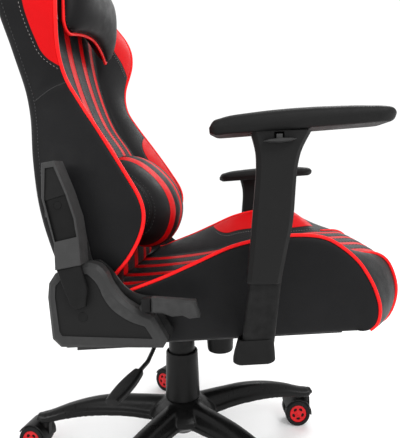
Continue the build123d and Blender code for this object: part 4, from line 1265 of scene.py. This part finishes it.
def build_cover(side, sign):
    outline = COVER_CORNERS[:-1] + sample(COVER_CURVE, 18)[:-1]
    cover = prism(f"recliner_shell_{side}", outline, sign, COVER_INNER, COVER_OUTER,
                  border=0.006, bevel=0.005)
    paint(cover, MATERIAL["pale_trim"])
    face = FACE_CORNERS[:-1] + sample(FACE_CURVE, 16)[:-1]
    recess = prism("recess", face, sign, COVER_OUTER - FACE_DEPTH, COVER_OUTER + 0.01)
    cut(cover, paint(recess, MATERIAL["dark_trim"]))
    soften_edges(cover, 0.0008, 2, 12)
    place_piece(cover, "seat", "trim_plastic", f"recliner_cover_{side}")
    build_plug(f"recliner_plug_{side}", "seat", COVER_PLUG_AT, COVER_PLUG_RADIUS, sign,
               COVER_OUTER - 0.004, COVER_OUTER - 0.0014)


def build_bar(side, sign):
    bar = prism(f"side_bar_{side}", BAR_CORNERS, sign, BAR_INNER, BAR_OUTER, border=0.0015, bevel=0.0015)
    paint(bar, MATERIAL["pale_band"])
    for corners, depth, finish in ((WINDOW_CORNERS, FACE_DEPTH, "dark_trim"),
                                   (LOWER_WINDOW, LOWER_FACE_DEPTH, "deep_trim")):
        cutter = prism("window", corners, sign, BAR_OUTER - depth, BAR_OUTER + 0.01)
        cut(bar, paint(cutter, MATERIAL[finish]))
    soften_edges(bar, 0.0008, 2, 12)
    tongue = prism(f"side_bar_tongue_{side}", TONGUE_CORNERS, sign, COVER_OUTER + 0.002, BAR_OUTER - 0.004,
                   border=0.002, bevel=0.002)
    paint(tongue, MATERIAL["deep_trim"])
    soften_edges(tongue, 0.0006)
    for piece in (bar, tongue):
        place_piece(piece, "back", "trim_plastic", f"back_bar_{side}")
    build_plug(f"side_bar_plug_{side}", "back", BAR_PLUG_AT, BAR_PLUG_RADIUS, sign,
               BAR_OUTER - 0.0055, BAR_OUTER - 0.0030)


def build_lever():
    """Recline handle on the sitter's right, with the block it is clipped into."""
    handle = prism("recline_handle", HANDLE_OUTLINE, -1, COVER_OUTER + 0.0025, COVER_OUTER + 0.0190,
                   border=0.0030, bevel=0.0045)
    paint(handle, MATERIAL["pale_trim"])
    block = prism("recline_handle_block", BLOCK_OUTLINE, -1, COVER_OUTER + 0.0025, COVER_OUTER + 0.0145,
                  border=0.0015, bevel=0.002)
    paint(block, MATERIAL["deep_trim"])
    for piece in (handle, block):
        soften_edges(piece, 0.0006)
        place_piece(piece, "recline_lever", "black_plastic", "recline_lever")
    foot = prism("recliner_foot_right", FOOT_OUTLINE, -1, COVER_INNER - 0.005, COVER_INNER - 0.0003)
    paint(foot, MATERIAL["deep_trim"])
    place_piece(foot, "seat", "trim_plastic")


for trim_side, trim_sign in SIDES:
    build_cover(trim_side, trim_sign)
    build_bar(trim_side, trim_sign)
build_lever()


# --- base -----------------------------------------------------------------------------------
LEG_COUNT = 5
LEG_START = 29.0                    # degrees from straight ahead to the first leg
# reach from the middle, with the height of a leg's top and underside, and its width
LEG_TOP = mm((0, 136), (45, 134), (90, 133), (152, 130), (205, 121), (258, 105), (310, 84.5), (330, 79.5))
LEG_BOTTOM = mm((0, 84), (66, 93), (133, 95), (210, 88), (262, 77), (308, 66), (330, 65))
LEG_WIDTH = mm((0, 60), (60, 54), (150, 50), (260, 42), (320, 38), (334, 30))
HUB_PROFILE = mm((1, 138), (31, 138), (36, 136.5), (40, 134), (50, 128), (60, 119), (67, 110), (69, 104),
                 (65, 98), (50, 90), (38, 80), (34, 76), (1, 76))
BASE_VOXEL = 0.0022


def leg_section(reach):
    """Half section of a leg: a rounded rib standing on a wider flange."""
    top, low, wide = value(LEG_TOP, reach), value(LEG_BOTTOM, reach), value(LEG_WIDTH, reach) / 2
    flange = min(0.012, (top - low) * 0.45)
    return [(0.0, top), (wide * 0.30, top - 0.0010), (wide * 0.52, top - 0.0045),
            (wide * 0.66, top - 0.0110), (wide * 0.74, mix(top, low, 0.50)),
            (wide * 0.80, low + flange + 0.003), (wide * 0.97, low + flange),
            (wide, low + flange * 0.6), (wide * 0.96, low), (0.0, low)]


def leg_angle(number):
    """Direction of a leg, counted from 0."""
    return math.radians(LEG_START - 90 + 360 / LEG_COUNT * number)


def build_base():
    pieces = []
    for k in range(LEG_COUNT):
        out, across = heading(leg_angle(k))
        rows = []
        for i in range(41):
            reach = mix(0.012, 0.3355, i / 40)
            end = smooth((reach - 0.318) / 0.0175)
            half = leg_section(min(reach, 0.33))
            middle = (half[0][1] + half[-1][1]) / 2
            ring = half + [(-x, h) for x, h in reversed(half[1:-1])]
            rows.append([out * reach + across * x * (1 - 0.30 * end)
                         + Vector((0, 0, mix(h, middle, 0.22 * end))) for x, h in ring])
        pieces.append(loft("leg", rows))
    rows = [[Vector((radius * cos, radius * sin, height)) for cos, sin in circle(48)]
            for radius, height in HUB_PROFILE]
    pieces.append(loft("hub", rows))
    base = join("star_base_casting", pieces)
    modify(base, "REMESH", mode="VOXEL", voxel_size=BASE_VOXEL, use_smooth_shade=True)
    modify(base, "SMOOTH", factor=0.5, iterations=9)
    bake_modifiers(base)
    base.data.shade_smooth()
    paint(base, MATERIAL["nylon"])
    place_piece(base, "base", "base_nylon", "star_base")


build_base()


# --- tilt mechanism and tension knob --------------------------------------------------------
KNOB_AT = (0.0, 0.082)
KNOB_PROFILE = mm((0, 232.5), (22, 232.8), (25.5, 234.5), (27, 238), (28.6, 262), (28.8, 270))
CASTING_ENDS = ((0.056, 0.286), (0.034, 0.272))      # half-width and height of the casting's underside
CASTING_REAR = mm((-62, 298), (-62, 290))
CASTING_FRONT = mm((116, 290), (116, 322), (104, 328), (40, 328), (0, 314))


def build_mechanism():
    """Casting under the seat: its underside rises towards both sides, with a collar on the column."""
    rows = []
    for x, low in CASTING_ENDS + tuple((-x, low) for x, low in reversed(CASTING_ENDS)):
        rows.append([at(x, *p) for p in CASTING_REAR + [(-0.050, low), (0.108, low)] + CASTING_FRONT])
    casting = join("tilt_casting", [loft("casting", rows, caps="flat"),
                                    lathe("collar", mm((27.4, 261), (28.6, 262.5), (30, 276)))])
    paint(casting, MATERIAL["coat"])
    soften_edges(casting, 0.0015)
    place_piece(casting, "mechanism", "black_steel", "tilt_housing")
    knob = lathe("tension_handwheel", KNOB_PROFILE, KNOB_AT)
    paint(knob, MATERIAL["black_plastic"])
    soften_edges(knob, 0.0006)
    place_piece(knob, "tension_knob", "black_plastic", "tension_knob")


build_mechanism()


# --- caster caps ----------------------------------------------------------------------------
CASTER_REACH, TRAIL, WHEEL_RADIUS = 0.318, 0.022, 0.029
TRAIL_DIRECTIONS = (96.0, 60.0, 82.0, 118.0, 75.0)       # where each caster's wheels trail, in degrees
CAP_FACE = 0.0221               # from the middle of a caster to the seat of its caps
CAP_PROFILE = mm((0.3, 0), (19.6, 0), (19.6, 1.9), (18.8, 2.5), (16.6, 2.5), (15.8, 2.1), (6, 2.1),
                 (4.6, 2.9), (0.3, 3.1))
CAP_WINDOWS = 5
WINDOW_AT, WINDOW_HALF = 0.0115, (0.0046, 0.0031)        # radius, half width and half depth


def build_caps(number):
    """Both five-spoked caps of one twin-wheel caster."""
    leg, _ = heading(leg_angle(number - 1))
    run, across = heading(math.radians(TRAIL_DIRECTIONS[number - 1]))
    hub = leg * CASTER_REACH + run * TRAIL + Vector((0, 0, WHEEL_RADIUS))
    discs, windows = [], []
    for way in (-1, 1):
        def spot(radial, angle, out):
            return (hub - across * way * (CAP_FACE + out) + run * radial * math.cos(angle)
                    + Vector((0, 0, radial * math.sin(angle))))
        discs.append(loft("disc", [[spot(r, 2 * math.pi * k / 40, out) for k in range(40)]
                                   for r, out in CAP_PROFILE], caps="flat"))
        for window in range(CAP_WINDOWS):
            middle = math.radians(360 / CAP_WINDOWS * window - 90)
            ring = []
            for k in range(18):
                turn = 2 * math.pi * k / 18
                radial = WINDOW_AT + WINDOW_HALF[1] * math.sin(turn)
                ring.append((radial, middle + WINDOW_HALF[0] * math.cos(turn) / radial))
            windows.append(loft("window", [[spot(r, a, out) for r, a in ring] for out in (-0.001, 0.006)],
                                caps="flat"))
    caps = paint(join(f"caster_caps_{number}", discs), MATERIAL["red_plastic"])
    cut(caps, paint(join("windows", windows), MATERIAL["red_plastic"]))
    soften_edges(caps, 0.0003, 2, 40)
    place_piece(caps, f"caster_{number}_wheel_pair", "red_plastic", f"caster_{number}_hubcaps")


for caster_number in range(1, LEG_COUNT + 1):
    build_caps(caster_number)


# --- finishes of the frame's own parts ------------------------------------------------------
FINISHES = {
    "gas_lift_tube": ("coat", 0.0), "column_cover_lower": ("black_plastic", 0.0008),
    "column_cover_upper": ("black_plastic", 0.0008), "gas_lift_piston": ("steel", 0.0),
    "tilt_pivot_pin": ("bolt", 0.0005), "tilt_spring": ("bolt", 0.0),
    "gas_lever_rod": ("coat", 0.0), "gas_lever_grip": ("black_plastic", 0.0015),
    "seat_frame": ("coat", 0.001), "seat_plate": ("coat", 0.0008),
    "seat_bolts": ("bolt", 0.0004), "recline_rod": ("bolt", 0.0),
    "back_frame": ("coat", 0.001), "belt_slot_bezels": ("black_plastic", 0.0015),
}
for side_name, _ in SIDES:
    FINISHES[f"recliner_{side_name}"] = ("coat", 0.0008)
for number in range(1, LEG_COUNT + 1):
    FINISHES |= {f"caster_{number}_hood": ("black_plastic", 0.0008), f"caster_{number}_pins": ("bolt", 0.0),
                 f"caster_{number}_wheels": ("tread", 0.0012)}


def finish_node(name, material, rounding):
    """Own material on a frame part, and small rounds on its sharp edges."""
    node = NODES[name]
    node.data.materials.clear()
    node.data.materials.append(MATERIAL[material])
    if rounding:
        modify(node, "WELD", merge_threshold=0.00001)
        soften_edges(node, rounding, 2, 30)


for node_name, (finish_material, rounding_radius) in FINISHES.items():
    finish_node(node_name, finish_material, rounding_radius)


# --- stage ----------------------------------------------------------------------------------
FLOOR_SIZE = 60
SKY_STRENGTH = 1.08
# place, diameter, power and target of each soft lamp
LAMPS = {
    "key": ((-2.2, -1.6, 2.6), 1.3, 62, (0, -0.1, 0.6)),
    "fill": ((-2.6, 1.8, 1.4), 1.5, 18, (0, 0.1, 0.7)),
    "rim": ((2.0, -1.2, 2.4), 1.4, 24, (0, 0, 0.6)),
    "back": ((1.4, 2.4, 2.2), 1.6, 14, (0, 0, 0.8)),
}


def build_stage():
    bpy.ops.mesh.primitive_plane_add(size=FLOOR_SIZE, location=(0, 0, 0))
    floor = bpy.context.object
    floor.name = "floor"
    material, bsdf = shader("floor_paint", Roughness=0.55)
    tone = ramp(material, noise(material, 1.5, 4.0), 0.3, 0.7)
    link(material, blend_colour(material, tone, grey(0.93), grey(0.95)), bsdf.inputs["Base Color"])
    paint(floor, material)
    world = bpy.data.worlds.new("studio")
    bpy.context.scene.world = world
    bpy.context.scene.view_settings.view_transform = "Standard"
    world.use_nodes = True
    background = world.node_tree.nodes["Background"]
    background.inputs["Color"].default_value = (1, 1, 1, 1)
    background.inputs["Strength"].default_value = SKY_STRENGTH
    for name, (place_at, size, power, target) in LAMPS.items():
        light = bpy.data.lights.new(name, "AREA")
        light.shape = "DISK"
        light.size = size
        light.energy = power
        lamp = bpy.data.objects.new(name, light)
        lamp.location = place_at
        lamp.rotation_euler = (Vector(target) - Vector(place_at)).to_track_quat("-Z", "Y").to_euler()
        bpy.context.scene.collection.objects.link(lamp)


SENSOR, LENS = 36.0, 36.9534       # millimetres
SHIFT = (-0.037443, -0.109247)
CAMERA_PLACE = (-0.956, -0.124, 0.608)
CAMERA_YAW, CAMERA_PITCH, CAMERA_ROLL = -2.52, 0.27, 1.27      # degrees


def build_camera():
    yaw, pitch, roll = (math.radians(a) for a in (CAMERA_YAW, CAMERA_PITCH, CAMERA_ROLL))
    ahead = Vector((math.cos(yaw) * math.cos(pitch), -math.sin(yaw) * math.cos(pitch), math.sin(pitch)))
    right = ahead.cross(Vector((0, 0, 1))).normalized()
    up = right.cross(ahead)
    tilted_up = up * math.cos(roll) + right * math.sin(roll)
    tilted_right = right * math.cos(roll) - up * math.sin(roll)
    camera = bpy.data.objects.new("camera", bpy.data.cameras.new("camera"))
    turn = Matrix((tilted_right, tilted_up, -ahead)).transposed()
    camera.matrix_world = Matrix.Translation(CAMERA_PLACE) @ turn.to_4x4()
    camera.data.sensor_width = SENSOR
    camera.data.lens = LENS
    camera.data.shift_x, camera.data.shift_y = SHIFT
    camera.data.clip_start = 0.02
    bpy.context.scene.collection.objects.link(camera)
    bpy.context.scene.camera = camera


build_stage()
build_camera()
